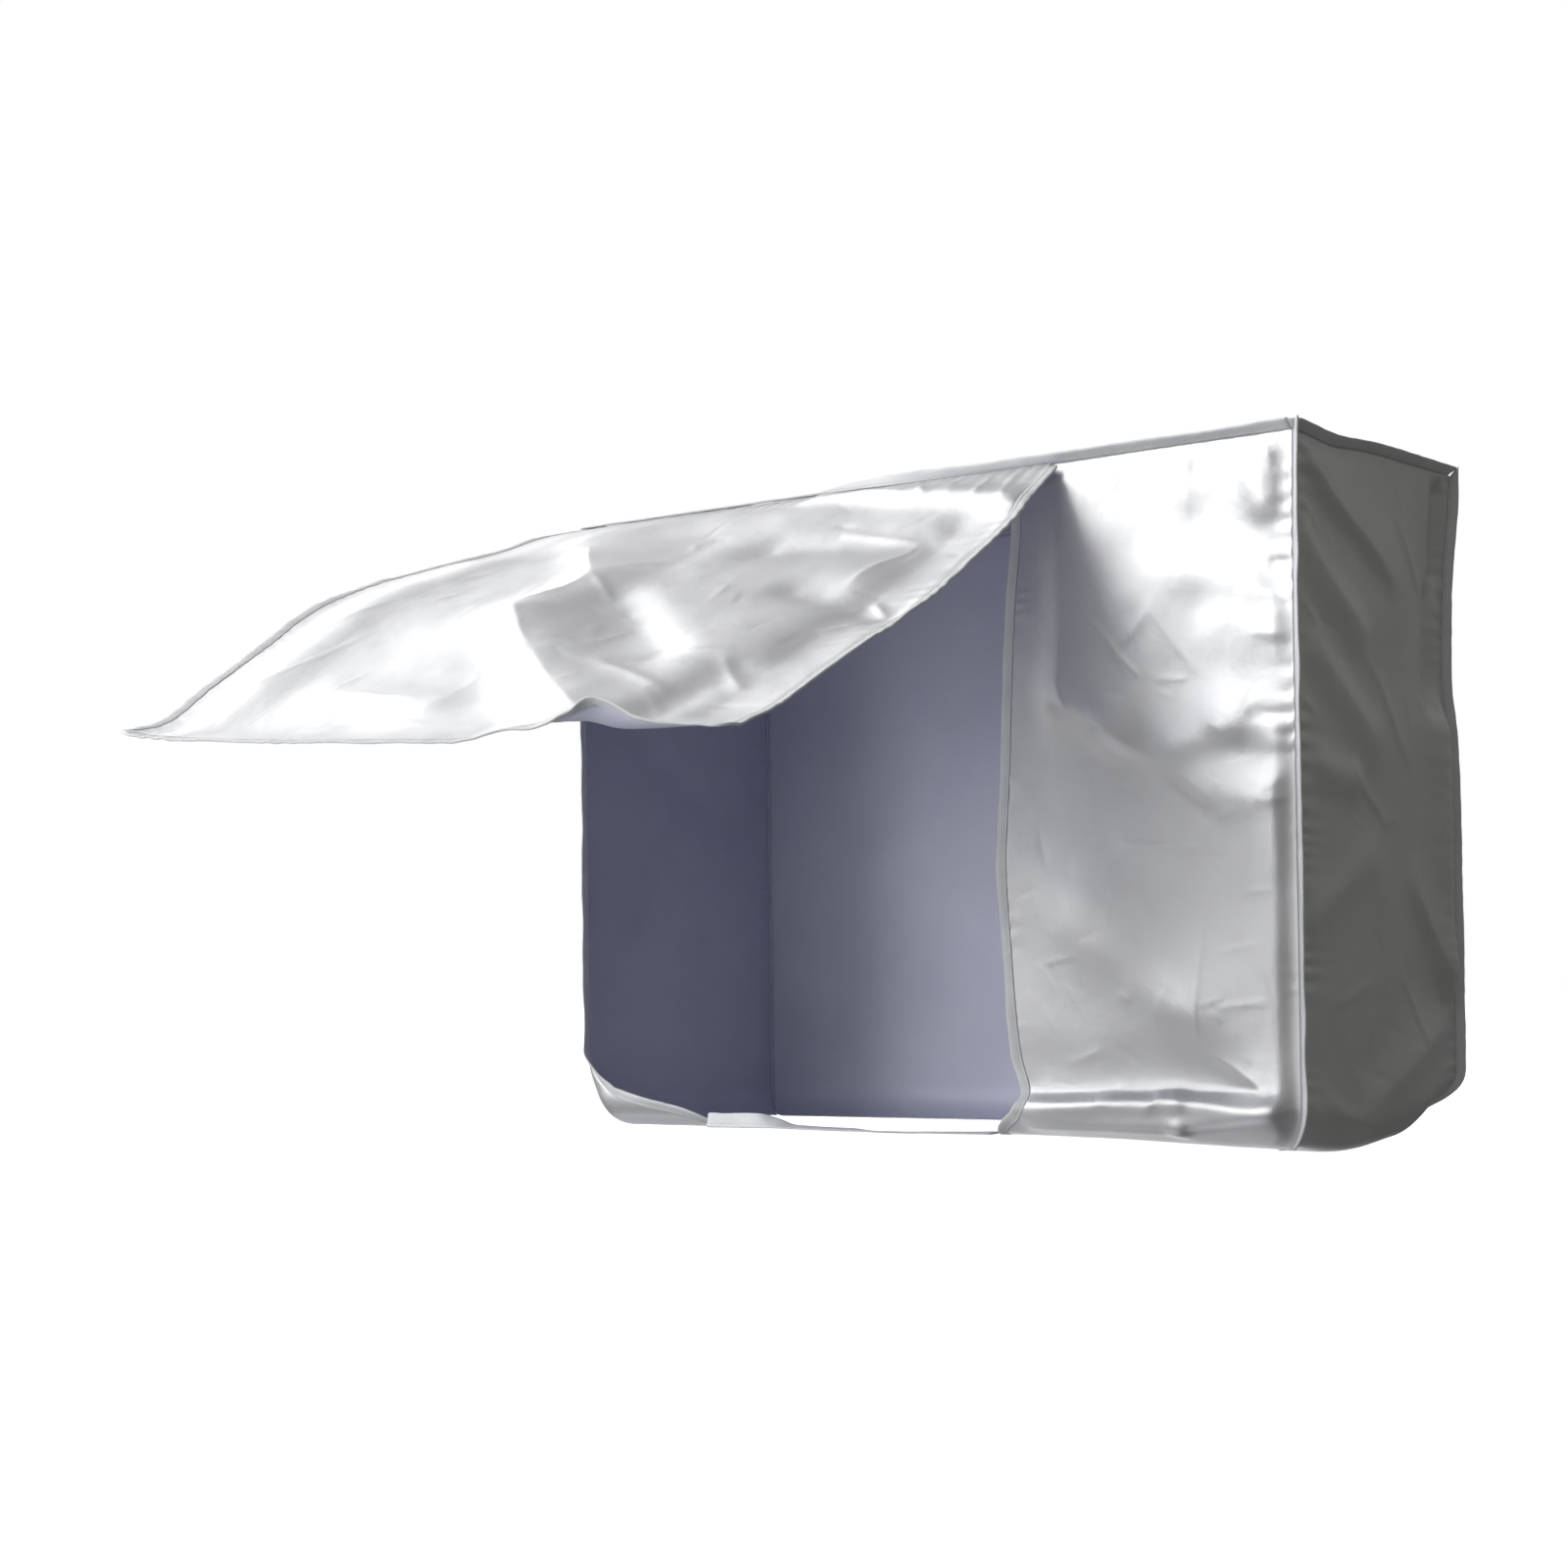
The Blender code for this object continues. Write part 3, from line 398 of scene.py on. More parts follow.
def fold_lift(folds, across, down):
    """Add up what the folds of a panel lift."""
    lift = np.zeros(np.shape(across))
    for fold in folds:
        run_a, run_d = fold.to_across - fold.across, fold.to_down - fold.down
        off_a, off_d = across - fold.across, down - fold.down
        share = np.clip((off_a * run_a + off_d * run_d) / (run_a ** 2 + run_d ** 2), 0, 1)
        away = np.hypot(off_a - share * run_a, off_d - share * run_d)
        aside = (off_a * run_d - off_d * run_a) / np.hypot(run_a, run_d)
        leftness = 0.5 + 0.5 * aside / np.maximum(away, FOLD_CORE)
        spread = fold.right_spread + (fold.left_spread - fold.right_spread) * leftness
        soft = np.exp(-(away / spread) ** 2)
        sharp = np.exp(-1.4 * away / spread) * (4 * share * (1 - share)) ** 0.6
        lift += fold.lift * (soft * (1 - fold.edge) + sharp * fold.edge)
    return lift


def small_creases(box, count, seed, long, lift, lean=None):
    """Draw short sharp creases at random places of a panel."""
    draw = np.random.default_rng(seed)
    creases = []
    for _ in range(count):
        start_a = draw.uniform(box[0], box[1])
        start_d = draw.uniform(box[2], box[3])
        way = draw.uniform(0, 2 * np.pi) if lean is None else draw.normal(lean, 0.5)
        length = draw.uniform(0.3, 1.0) * long
        height = draw.choice((-1, 1)) * draw.uniform(0.3, 1.0) * lift
        spread = draw.uniform(0.0022, 0.0055)
        creases.append(
            Fold(
                start_a,
                start_d,
                start_a + length * np.cos(way),
                start_d + length * np.sin(way),
                height,
                spread,
                spread * draw.uniform(1.0, 2.2),
                1,
            )
        )
    return tuple(creases)


def pucker(along, away, seed, pitch=0.019, lift=0.0013, reach=0.016):
    """Gather the cloth a little along a sewn seam."""
    wave = np.sin(2 * np.pi * along / pitch + 5.0 * waver(along / 0.050, seed, seed))
    wave *= ease(0.5 + 0.9 * waver(along / 0.045, seed + 0.5, seed + 1))
    return lift * wave * np.exp(-away / reach) * ease(away / 0.003)


def cloth_lift(folds, creases, across, down, seed, ripple=0.0011):
    """Add up a panel's folds, creases and its slight unevenness."""
    shift_a = 0.0035 * waver(across / 0.045, down / 0.045, seed)
    shift_d = 0.0035 * waver(across / 0.045, down / 0.045, seed + 1)
    lift = fold_lift(folds, across, down)
    lift += fold_lift(creases, across + shift_a, down + shift_d)
    lift += ripple * waver(across / 0.070, down / 0.070, seed + 2)
    lift += 0.25 * ripple * waver(across / 0.026, down / 0.026, seed + 3)
    return lift


def calm(*distances):
    """Fade the folds out towards the sewn edges."""
    still = 1.0
    for distance in distances:
        still = still * ease(distance / SEAM_CALM)
    return still


def give(x, y, z):
    """Draw the plain box to where the worn cover has it."""
    corner = np.hypot(HALF_W - x, HALF_D + y)
    flare = CORNER_FLARE * (1 - ease(corner / FLARE_REACH)) * (1 - ease(-z / FLARE_REACH))
    x = x + flare
    y = y - flare
    at_side = 1 - ease((HALF_W - x) / FLARE_REACH)
    at_dip = np.exp(-((y - SIDE_SAG_BACK) / SIDE_SAG_REACH) ** 2)
    z = z - SIDE_SAG * at_side * at_dip * (1 - ease(-z / HEIGHT))
    at_back = ease((y - FOOT_LIFT_FROM) / (HALF_D - FOOT_LIFT_FROM))
    at_right = ease((x - FOOT_LIFT_FROM) / (HALF_W - FOOT_LIFT_FROM))
    at_foot = ease((-z - FOOT_LIFT_ABOVE) / (HEIGHT - FOOT_LIFT_ABOVE))
    z = z + FOOT_LIFT * at_back * at_right * at_foot
    sag = np.exp(-((y - FOOT_SAG_BACK) / FOOT_SAG_REACH) ** 2)
    z = z - FOOT_SAG * sag * at_right * at_foot
    at_edge = 1 - ease(np.hypot(HALF_W - x, HALF_D - y) / EDGE_DRAW_REACH)
    inward = read(EDGE_DRAW, "down", "inward", np.maximum(-z, 0)) * at_edge
    return np.stack(np.broadcast_arrays(x - inward, y - inward, z), -1)


def hem_profile(down):
    """Return how far a wall has turned in, its height, and its outward direction there."""
    turn = np.clip((down - WALL) / HEM_ROUND, 0, np.pi / 2)
    flat = np.maximum(down - WALL - HEM_ARC, 0)
    turned = HEM_ROUND * (1 - np.cos(turn)) + flat
    height = -np.minimum(down, WALL) - HEM_ROUND * np.sin(turn)
    return turned, height, np.cos(turn), -np.sin(turn)


def down_at(share, total=DOWN_TOTAL):
    """Place a share of the way down a wall."""
    return SEAM_SET + (total - SEAM_SET) * share


def front_point(u, v):
    """Lay the fixed front panel."""
    down = down_at(v)
    turned, height, out, up = hem_profile(down)
    left = read(FRONT_EDGE, "down", "across", down) + TAPE_WIDTH
    right = HALF_W - 0.0006 - turned
    across = left + (right - left) * u
    lift = cloth_lift(FRONT_FOLDS, FRONT_FINE, across, down, 11)
    lift = lift * calm(right - across, down, DOWN_TOTAL - down)
    upper = 0.25 + 0.75 * (1 - ease((down - 0.26) / 0.12))
    lift += pucker(down, right - across, 21, reach=0.012) * upper
    lift += pucker(across, down, 23, pitch=0.021, lift=0.0010) * (0.3 + 0.7 * ease((across - 0.26) / 0.06))
    lift += pucker(down, across - left, 25, lift=0.0005, reach=0.008)
    return give(across, -HALF_D + turned - lift * out, height + lift * up)


def right_point(u, v):
    """Lay the right side panel, from the front seam to the back one."""
    down = down_at(v)
    turned, height, out, up = hem_profile(down)
    reach = HALF_D - 0.0006 - turned
    across = reach * (2 * u - 1)
    lift = cloth_lift(RIGHT_FOLDS, RIGHT_FINE, across, down, 31)
    lift = lift * calm(reach - across, reach + across, down, DOWN_TOTAL - down)
    lift += pucker(down, reach + across, 41, lift=0.0017) + pucker(down, reach - across, 43)
    lift += pucker(across, down, 45, lift=0.0009)
    return give(HALF_W - turned + lift * out, across, height + lift * up)


def back_point(u, v):
    """Lay the back panel, from the right seam to the left one."""
    down = down_at(v)
    turned, height, out, up = hem_profile(down)
    reach = HALF_W - 0.0006 - turned
    across = reach * (1 - 2 * u)
    lift = cloth_lift(BACK_FOLDS, BACK_FINE, -across, down, 51, ripple=0.0016)
    lift = lift * calm(reach - across, reach + across, down, DOWN_TOTAL - down)
    lift += pucker(down, reach - across, 61) + pucker(down, reach + across, 63)
    lift += pucker(across, down, 65)
    return give(across, HALF_D - turned + lift * out, height + lift * up)


def left_point(u, v):
    """Lay the left side panel, which wraps on to the front at its foot."""
    down = down_at(v, WRAP_TOTAL)
    turned, height, out, up = hem_profile(down)
    round_now = np.maximum(read(LEFT_WRAP, "down", "corner_round", down), turned + GAP)
    start = HALF_D - 0.0006 - turned
    side = start + HALF_D - round_now
    reach = round_now - turned
    bend = reach * np.pi / 2
    path = u * (side + bend + read(LEFT_WRAP, "down", "reach", down))
    across = path - start
    lift = cloth_lift(LEFT_FOLDS, LEFT_FINE, across, down, 71)
    lift = lift * calm(path, down, np.maximum(side - path, 0), np.maximum(WALL - down, 0))
    lift += pucker(down, path, 81) * ease((WALL - down) / SEAM_CALM)
    angle = np.clip((path - side) / reach, 0, np.pi / 2)
    past = np.maximum(path - side - bend, 0)
    on_side = path <= side
    x = np.where(on_side, -HALF_W + turned - lift * out, -HALF_W + round_now - reach * np.cos(angle) + past)
    y = np.where(on_side, -across, -HALF_D + round_now - reach * np.sin(angle))
    return give(x, y, height)


def top_point(u, v):
    """Lay the top panel over what it covers."""
    across = (HALF_W - 0.0006) * (2 * u - 1)
    deep = (HALF_D - 0.0006) * (2 * v - 1)
    near_x, near_y = HALF_W - np.abs(across), HALF_D - np.abs(deep)
    lift = 0.0006 * waver(across / 0.080, deep / 0.080, 91) + fold_lift(TOP_FINE, across, deep)
    lift = lift * calm(near_x, near_y)
    lift += pucker(across, near_y, 93, lift=0.0007) + pucker(deep, near_x, 95, lift=0.0007)
    return give(across, deep, lift)


def edge_at(rows, share):
    """Read a flap edge at a share of its length."""
    out = np.array([row.out for row in rows])
    aside = np.array([row.aside for row in rows])
    drop = np.array([row.drop for row in rows])
    lengths = np.concatenate([[0], np.cumsum(np.hypot(np.diff(out), np.diff(drop)))])
    at = share * lengths[-1]
    return curve(lengths, out, at), curve(lengths, aside, at), curve(lengths, drop, at)


def flap_whole(u, v):
    """Lay the flap, with its bindings, between its side edges and its hem."""
    length = v * FLAP_LENGTH
    left_out, left_aside, left_drop = edge_at(FLAP_LEFT, v)
    right_out, right_aside, right_drop = edge_at(FLAP_RIGHT, v)
    back = np.maximum((1 - v) * FLAP_LENGTH - TAPE_WIDTH, 0)
    rise = read(FLAP_HEM, "share", "lip", u) * np.exp(-back / HEM_CURL)
    rise -= read(FLAP_HEM, "share", "sag", u) * v ** 2
    rise -= read(FLAP_HEM, "share", "dip", u) * back / HEM_DIP * np.exp(1 - back / HEM_DIP)
    wide = FLAP_SEAM_RIGHT - FLAP_SEAM_LEFT
    across = u * wide
    x = FLAP_SEAM_LEFT - left_aside + u * (wide - right_aside + left_aside)
    out = left_out + (right_out - left_out) * u
    drop = left_drop + (right_drop - left_drop) * u
    lift = cloth_lift(FLAP_FOLDS, FLAP_FINE, across, length, 101, ripple=0.0014)
    lift = lift * ease(length / FLAP_CALM)
    lift = lift * ease(np.minimum(across, wide - across) / FLAP_CALM + 0.15)
    lift = lift * ease((1 - v) * FLAP_LENGTH / FLAP_CALM + 0.1)
    lift += pucker(across, length, 111, pitch=0.016, lift=0.0014)
    lift += pucker(length, wide - across, 113, lift=0.0010) + pucker(length, across, 115, lift=0.0006)
    lift += pucker(across, (1 - v) * FLAP_LENGTH, 117, lift=0.0006)
    return np.stack(
        [x, -HALF_D - out - lift * np.sin(FLAP_SLOPE), -drop + rise + lift * np.cos(FLAP_SLOPE)], -1
    )


def flap_point(u, v):
    """Lay the flap's cloth inside its bindings."""
    side = TAPE_WIDTH / (FLAP_SEAM_RIGHT - FLAP_SEAM_LEFT)
    foot = TAPE_WIDTH / FLAP_LENGTH
    return flap_whole(side + u * (1 - 2 * side), v * (1 - foot))


FRONT_FINE = FRONT_CREASES + small_creases((0.15, 0.41, 0.20, 0.60), 46, 201, 0.05, 0.0007)
RIGHT_FINE = RIGHT_CREASES + small_creases((-0.14, 0.14, 0.03, 0.60), 46, 203, 0.06, 0.0008)
LEFT_FINE = small_creases((-0.14, 0.14, 0.03, 0.58), 36, 205, 0.06, 0.0009)
BACK_FINE = small_creases((-0.40, 0.40, 0.03, 0.60), 70, 207, 0.09, 0.0011)
TOP_FINE = small_creases((-0.40, 0.40, -0.14, 0.14), 40, 209, 0.08, 0.0005)
FLAP_FINE = FLAP_CREASES + small_creases((0.22, 0.60, 0.06, 0.58), 60, 211, 0.06, 0.0009)
FLAP_FINE += small_creases((0.03, 0.22, 0.20, 0.58), 16, 213, 0.06, 0.0006, lean=2.0)


def mesh_piece(name, points, faces, uvs, materials):
    """Make a shown piece of a mesh from its points, faces and the corners' places on the flat cloth."""
    mesh = bpy.data.meshes.new(name)
    mesh.from_pydata([tuple(p) for p in points], [], faces)
    mesh.polygons.foreach_set("use_smooth", [True] * len(mesh.polygons))
    layer = mesh.uv_layers.new(name="flat")
    corners = np.empty(len(mesh.loops), dtype=np.int32)
    mesh.loops.foreach_get("vertex_index", corners)
    layer.data.foreach_set("uv", np.asarray(uvs, dtype=np.float32)[corners].ravel())
    for material in materials:
        mesh.materials.append(material)
    piece = bpy.data.objects.new(name, mesh)
    bpy.context.scene.collection.objects.link(piece)
    return piece


def lay_sheet(node, place, columns, rows, flat, facing, materials):
    """Lay a fine grid of cloth and give it its thickness."""
    u, v = np.meshgrid(np.linspace(0, 1, columns + 1), np.linspace(0, 1, rows + 1))
    points = place(u.ravel(), v.ravel())
    uvs = np.stack([u.ravel() * flat[0], v.ravel() * flat[1]], -1)
    index = np.arange((rows + 1) * (columns + 1)).reshape(rows + 1, columns + 1)
    quads = np.stack([index[:-1, :-1], index[1:, :-1], index[1:, 1:], index[:-1, 1:]], -1).reshape(-1, 4)
    first = points[quads]
    lean = np.cross(first[:, 2] - first[:, 0], first[:, 3] - first[:, 1]).sum(0)
    if lean @ np.array(facing) < 0:
        quads = quads[:, ::-1]
    piece = mesh_piece("cloth_" + node, points, quads.tolist(), uvs, materials)
    body = piece.modifiers.new("Thickness", "SOLIDIFY")
    body.thickness = SHEET
    body.offset = 0
    body.use_rim = True
    # The inner faces take the second material, the back face painted bluer and darker as shade
    body.material_offset = 1
    body.material_offset_rim = 0
    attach(piece, "root")
    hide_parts(node)
    return piece


# A folded tape's section: how far it has gone from the seam and how thick it is there, as shares
TapeStation = namedtuple("TapeStation", "way half")
TAPE_SECTION = (
    TapeStation(-0.12, 0.62),
    TapeStation(0.02, 0.74),
    TapeStation(0.14, 0.60),
    TapeStation(0.22, 0.56),
    TapeStation(0.32, 0.72),
    TapeStation(0.60, 0.94),
    TapeStation(0.84, 1.00),
    TapeStation(0.95, 0.80),
    TapeStation(1.00, 0.30),
)
STITCH_WAY = 0.19
STITCH_PITCH = 0.0034
STITCH_LONG = 0.0024
STITCH_HALF = 0.00032


def unit(vectors):
    """Scale vectors to length 1."""
    return vectors / np.maximum(np.linalg.norm(vectors, axis=-1, keepdims=True), 1e-9)


def resample(points, outward, step):
    """Walk along a line in even steps."""
    lengths = np.concatenate([[0], np.cumsum(np.linalg.norm(np.diff(points, axis=0), axis=1))])
    count = max(int(lengths[-1] / step), 4)
    at = np.linspace(0, lengths[-1], count + 1)
    new_points = np.stack([np.interp(at, lengths, points[:, k]) for k in range(3)], -1)
    new_outward = np.stack([np.interp(at, lengths, outward[:, k]) for k in range(3)], -1)
    return new_points, new_outward, at


def lay_tape(node, points, outward, wide, thick, seed, materials, stitched=True, step=0.004):
    """Sweep a folded tape along a line and sew its stitches on both faces."""
    points, outward, at = resample(points, outward, step)
    along = unit(np.gradient(points, axis=0))
    normal = unit(np.cross(along, outward))
    reach = np.linalg.norm(outward, axis=-1)
    wander = 1 + 0.05 * waver(at / 0.030, 0.3, seed) + 0.03 * waver(at / 0.009, 0.7, seed + 1)
    tilt = 0.10 * waver(at / 0.035, 0.2, seed + 2)
    swell = 1 + 0.10 * waver(at / 0.012, 0.6, seed + 3)
    outward = (outward + normal * tilt[:, None]) * (reach / np.hypot(reach, tilt))[:, None]
    normal = unit(np.cross(along, outward))
    ways = [s.way for s in TAPE_SECTION] + [s.way for s in reversed(TAPE_SECTION)]
    halves = [s.half for s in TAPE_SECTION] + [-s.half for s in reversed(TAPE_SECTION)]
    rings = []
    for way, half in zip(ways, halves):
        off = outward * (wide * way * wander)[:, None] + normal * (thick / 2 * half * swell)[:, None]
        rings.append(points + off)
    ring = len(ways)
    body = np.stack(rings, 1).reshape(-1, 3)
    uvs = np.stack(
        [np.repeat(at, ring), np.tile(np.array(ways) * wide + np.sign(halves) * 0.004, len(at))], -1
    )
    index = np.arange(len(at) * ring).reshape(len(at), ring)
    turned = np.roll(index, -1, axis=1)
    quads = np.stack([index[:-1], index[1:], turned[1:], turned[:-1]], -1).reshape(-1, 4).tolist()
    quads.append(index[0].tolist())
    quads.append(index[-1][::-1].tolist())
    count = len(quads)
    if stitched:
        sewn, sewn_faces = stitches(points, outward, normal, at, wide, thick, seed)
        quads += (sewn_faces + len(body)).tolist()
        uvs = np.concatenate([uvs, np.zeros((len(sewn), 2))])
        body = np.concatenate([body, sewn])
    piece = mesh_piece("tape_" + node, body, quads, uvs, materials)
    kinds = [0] * count + [1] * (len(piece.data.polygons) - count)
    piece.data.polygons.foreach_set("material_index", kinds)
    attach(piece, "root")
    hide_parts(node)
    return piece


def stitches(points, outward, normal, at, wide, thick, seed):
    """Make the thread of a seam: a short raised stitch on each face at every pitch."""
    starts = np.arange(0.002, at[-1] - STITCH_LONG, STITCH_PITCH)
    draw = np.random.default_rng(seed + 9)
    starts = starts + draw.uniform(-0.00015, 0.00015, len(starts))
    sections = np.array([0.0, 0.18, 0.82, 1.0]) * STITCH_LONG
    swell = np.array([0.25, 1.0, 1.0, 0.25])
    corners = ((-1, 0.0), (-0.5, 1.0), (0.5, 1.0), (1, 0.0), (0, -0.6))
    made = []
    for side in (1, -1):
        for section, size in zip(sections, swell):
            spot = starts + section
            base = np.stack([np.interp(spot, at, points[:, k]) for k in range(3)], -1)
            out = np.stack([np.interp(spot, at, outward[:, k]) for k in range(3)], -1)
            up = np.stack([np.interp(spot, at, normal[:, k]) for k in range(3)], -1) * side
            base = base + out * wide * STITCH_WAY + up * thick / 2 * 0.56
            for over, rise in corners:
                made.append(base + (out * over + up * (rise + 0.1)) * STITCH_HALF * size)
    stacked = np.stack(made, 1)
    per = len(corners)
    faces = []
    for half in range(2):
        for section in range(len(sections) - 1):
            low = (half * len(sections) + section) * per
            for corner in range(per):
                right = (corner + 1) % per
                quad = [low + corner, low + right, low + per + right, low + per + corner]
                faces.append(quad if half == 0 else quad[::-1])
    offsets = np.arange(len(starts))[:, None, None] * stacked.shape[1]
    return stacked.reshape(-1, 3), (np.array(faces)[None] + offsets).reshape(-1, 4)


def edge_line(place, places, inner):
    """Return a free edge's points and the directions away from its cloth."""
    u, v = np.array(places).T
    points = place(u, v)
    inner_u, inner_v = np.array(inner).T
    raw = points - place(inner_u, inner_v)
    along = unit(np.gradient(points, axis=0))
    raw = raw - along * (raw * along).sum(-1, keepdims=True)
    return points, unit(raw)


# Nodes of the materials


def new_material(name):
    """Make a material with an empty Principled shader and return it with its tree."""
    material = bpy.data.materials.new(name)
    material.use_nodes = True
    tree = material.node_tree
    return material, tree, tree.nodes["Principled BSDF"]


def math_node(tree, kind, first, second=None):
    """Add a math node on two values or sockets."""
    node = tree.nodes.new("ShaderNodeMath")
    node.operation = kind
    for socket, value in zip(node.inputs, (first, second)):
        if value is None:
            continue
        if isinstance(value, (int, float)):
            socket.default_value = value
        else:
            tree.links.new(value, socket)
    return node.outputs[0]


def span_node(tree, value, start, end, low, high):
    """Map a value from one span to another, clamped."""
    node = tree.nodes.new("ShaderNodeMapRange")
    numbers = {"From Min": start, "From Max": end, "To Min": low, "To Max": high}
    for name, number in numbers.items():
        node.inputs[name].default_value = number
    tree.links.new(value, node.inputs["Value"])
    return node.outputs["Result"]


def noise_node(tree, coordinates, scale, detail=3.0, roughness=0.5, stretch=(1, 1, 1)):
    """Add a noise texture and return its value."""
    mapping = tree.nodes.new("ShaderNodeMapping")
    mapping.inputs["Scale"].default_value = stretch
    tree.links.new(coordinates, mapping.inputs["Vector"])
    texture = tree.nodes.new("ShaderNodeTexNoise")
    texture.inputs["Scale"].default_value = scale
    texture.inputs["Detail"].default_value = detail
    texture.inputs["Roughness"].default_value = roughness
    tree.links.new(mapping.outputs["Vector"], texture.inputs["Vector"])
    return texture.outputs["Fac"]


def ramp_node(tree, value, *stops):
    """Add a colour ramp of (place, colour) stops."""
    node = tree.nodes.new("ShaderNodeValToRGB")
    ramp = node.color_ramp
    while len(ramp.elements) < len(stops):
        ramp.elements.new(0.5)
    for element, (place, colour) in zip(ramp.elements, stops):
        element.position = place
        element.color = (*colour, 1.0)
    tree.links.new(value, node.inputs["Fac"])
    return node.outputs["Color"]


def weave_height(tree, coordinates, pitch):
    """Return the height of a plain weave whose threads are one pitch apart."""
    split = tree.nodes.new("ShaderNodeSeparateXYZ")
    tree.links.new(coordinates, split.inputs[0])
    rate = 2 * np.pi / pitch
    across = math_node(tree, "SINE", math_node(tree, "MULTIPLY", split.outputs[0], rate))
    along = math_node(tree, "SINE", math_node(tree, "MULTIPLY", split.outputs[1], rate))
    return math_node(tree, "MULTIPLY", across, along)


def coated_cloth(name, light, dark, metallic, rough, seed, weave=0.10):
    """Make woven polyester with a silver coating, faintly creased and cloudy."""
    material, tree, shader = new_material(name)
    coordinates = tree.nodes.new("ShaderNodeTexCoord").outputs["UV"]
    shift = tree.nodes.new("ShaderNodeVectorMath")
    shift.operation = "ADD"
    shift.inputs[1].default_value = (seed * 1.7, seed * 0.9, 0)
    tree.links.new(coordinates, shift.inputs[0])
    flat = shift.outputs[0]
    cloud = noise_node(tree, flat, 5.5, detail=4.0)
    grain = noise_node(tree, flat, 420.0, detail=2.0)
    mixed = math_node(tree, "ADD", math_node(tree, "MULTIPLY", cloud, 0.8), math_node(tree, "MULTIPLY", grain, 0.2))
    tree.links.new(ramp_node(tree, mixed, (0.34, dark), (0.66, light)), shader.inputs["Base Color"])
    dull = noise_node(tree, flat, 14.0, detail=4.0)
    rough_value = math_node(tree, "ADD", math_node(tree, "MULTIPLY", dull, 0.14), rough - 0.07)
    tree.links.new(rough_value, shader.inputs["Roughness"])
    shader.inputs["Metallic"].default_value = metallic
    shader.inputs["Specular IOR Level"].default_value = 0.5
    threads = math_node(tree, "MULTIPLY", weave_height(tree, flat, 0.0013), weave)
    crinkle = math_node(tree, "MULTIPLY", noise_node(tree, flat, 38.0, detail=4.0, roughness=0.55), 0.9)
    wrinkle = math_node(tree, "MULTIPLY", noise_node(tree, flat, 120.0, detail=3.0, stretch=(1, 0.5, 1)), 0.22)
    height = math_node(tree, "ADD", math_node(tree, "ADD", threads, crinkle), wrinkle)
    bump = tree.nodes.new("ShaderNodeBump")
    bump.inputs["Strength"].default_value = 0.55
    bump.inputs["Distance"].default_value = 0.0010
    tree.links.new(height, bump.inputs["Height"])
    tree.links.new(bump.outputs["Normal"], shader.inputs["Normal"])
    return material


def tape_cloth(name, light, dark, rough=0.44, metallic=0.10):
    """Make the folded tape: a fine ribbed weave, paler than the cloth."""
    material, tree, shader = new_material(name)
    coordinates = tree.nodes.new("ShaderNodeTexCoord").outputs["UV"]
    cloud = noise_node(tree, coordinates, 30.0, detail=4.0)
    tree.links.new(ramp_node(tree, cloud, (0.36, dark), (0.64, light)), shader.inputs["Base Color"])
    dull = noise_node(tree, coordinates, 60.0, detail=3.0)
    rough_value = math_node(tree, "ADD", math_node(tree, "MULTIPLY", dull, 0.16), rough - 0.08)
    tree.links.new(rough_value, shader.inputs["Roughness"])
    shader.inputs["Metallic"].default_value = metallic
    shader.inputs["Sheen Weight"].default_value = 0.15
    ribs = weave_height(tree, coordinates, 0.0009)
    rumple = noise_node(tree, coordinates, 160.0, detail=3.0)
    height = math_node(tree, "ADD", math_node(tree, "MULTIPLY", ribs, 0.3), rumple)
    bump = tree.nodes.new("ShaderNodeBump")
    bump.inputs["Strength"].default_value = 0.5
    bump.inputs["Distance"].default_value = 0.0005
    tree.links.new(height, bump.inputs["Height"])
    tree.links.new(bump.outputs["Normal"], shader.inputs["Normal"])
    return material


def thread_material():
    """Make the pale sewing thread."""
    material, tree, shader = new_material("thread")
    coordinates = tree.nodes.new("ShaderNodeTexCoord").outputs["Object"]
    twist = noise_node(tree, coordinates, 900.0, detail=2.0)
    stops = ((0.35, (0.66, 0.67, 0.70)), (0.65, (0.84, 0.85, 0.87)))
    tree.links.new(ramp_node(tree, twist, *stops), shader.inputs["Base Color"])
    shader.inputs["Roughness"].default_value = 0.6
    shader.inputs["Sheen Weight"].default_value = 0.3
    bump = tree.nodes.new("ShaderNodeBump")
    bump.inputs["Strength"].default_value = 0.4
    bump.inputs["Distance"].default_value = 0.0002
    tree.links.new(twist, bump.inputs["Height"])
    tree.links.new(bump.outputs["Normal"], shader.inputs["Normal"])
    return material


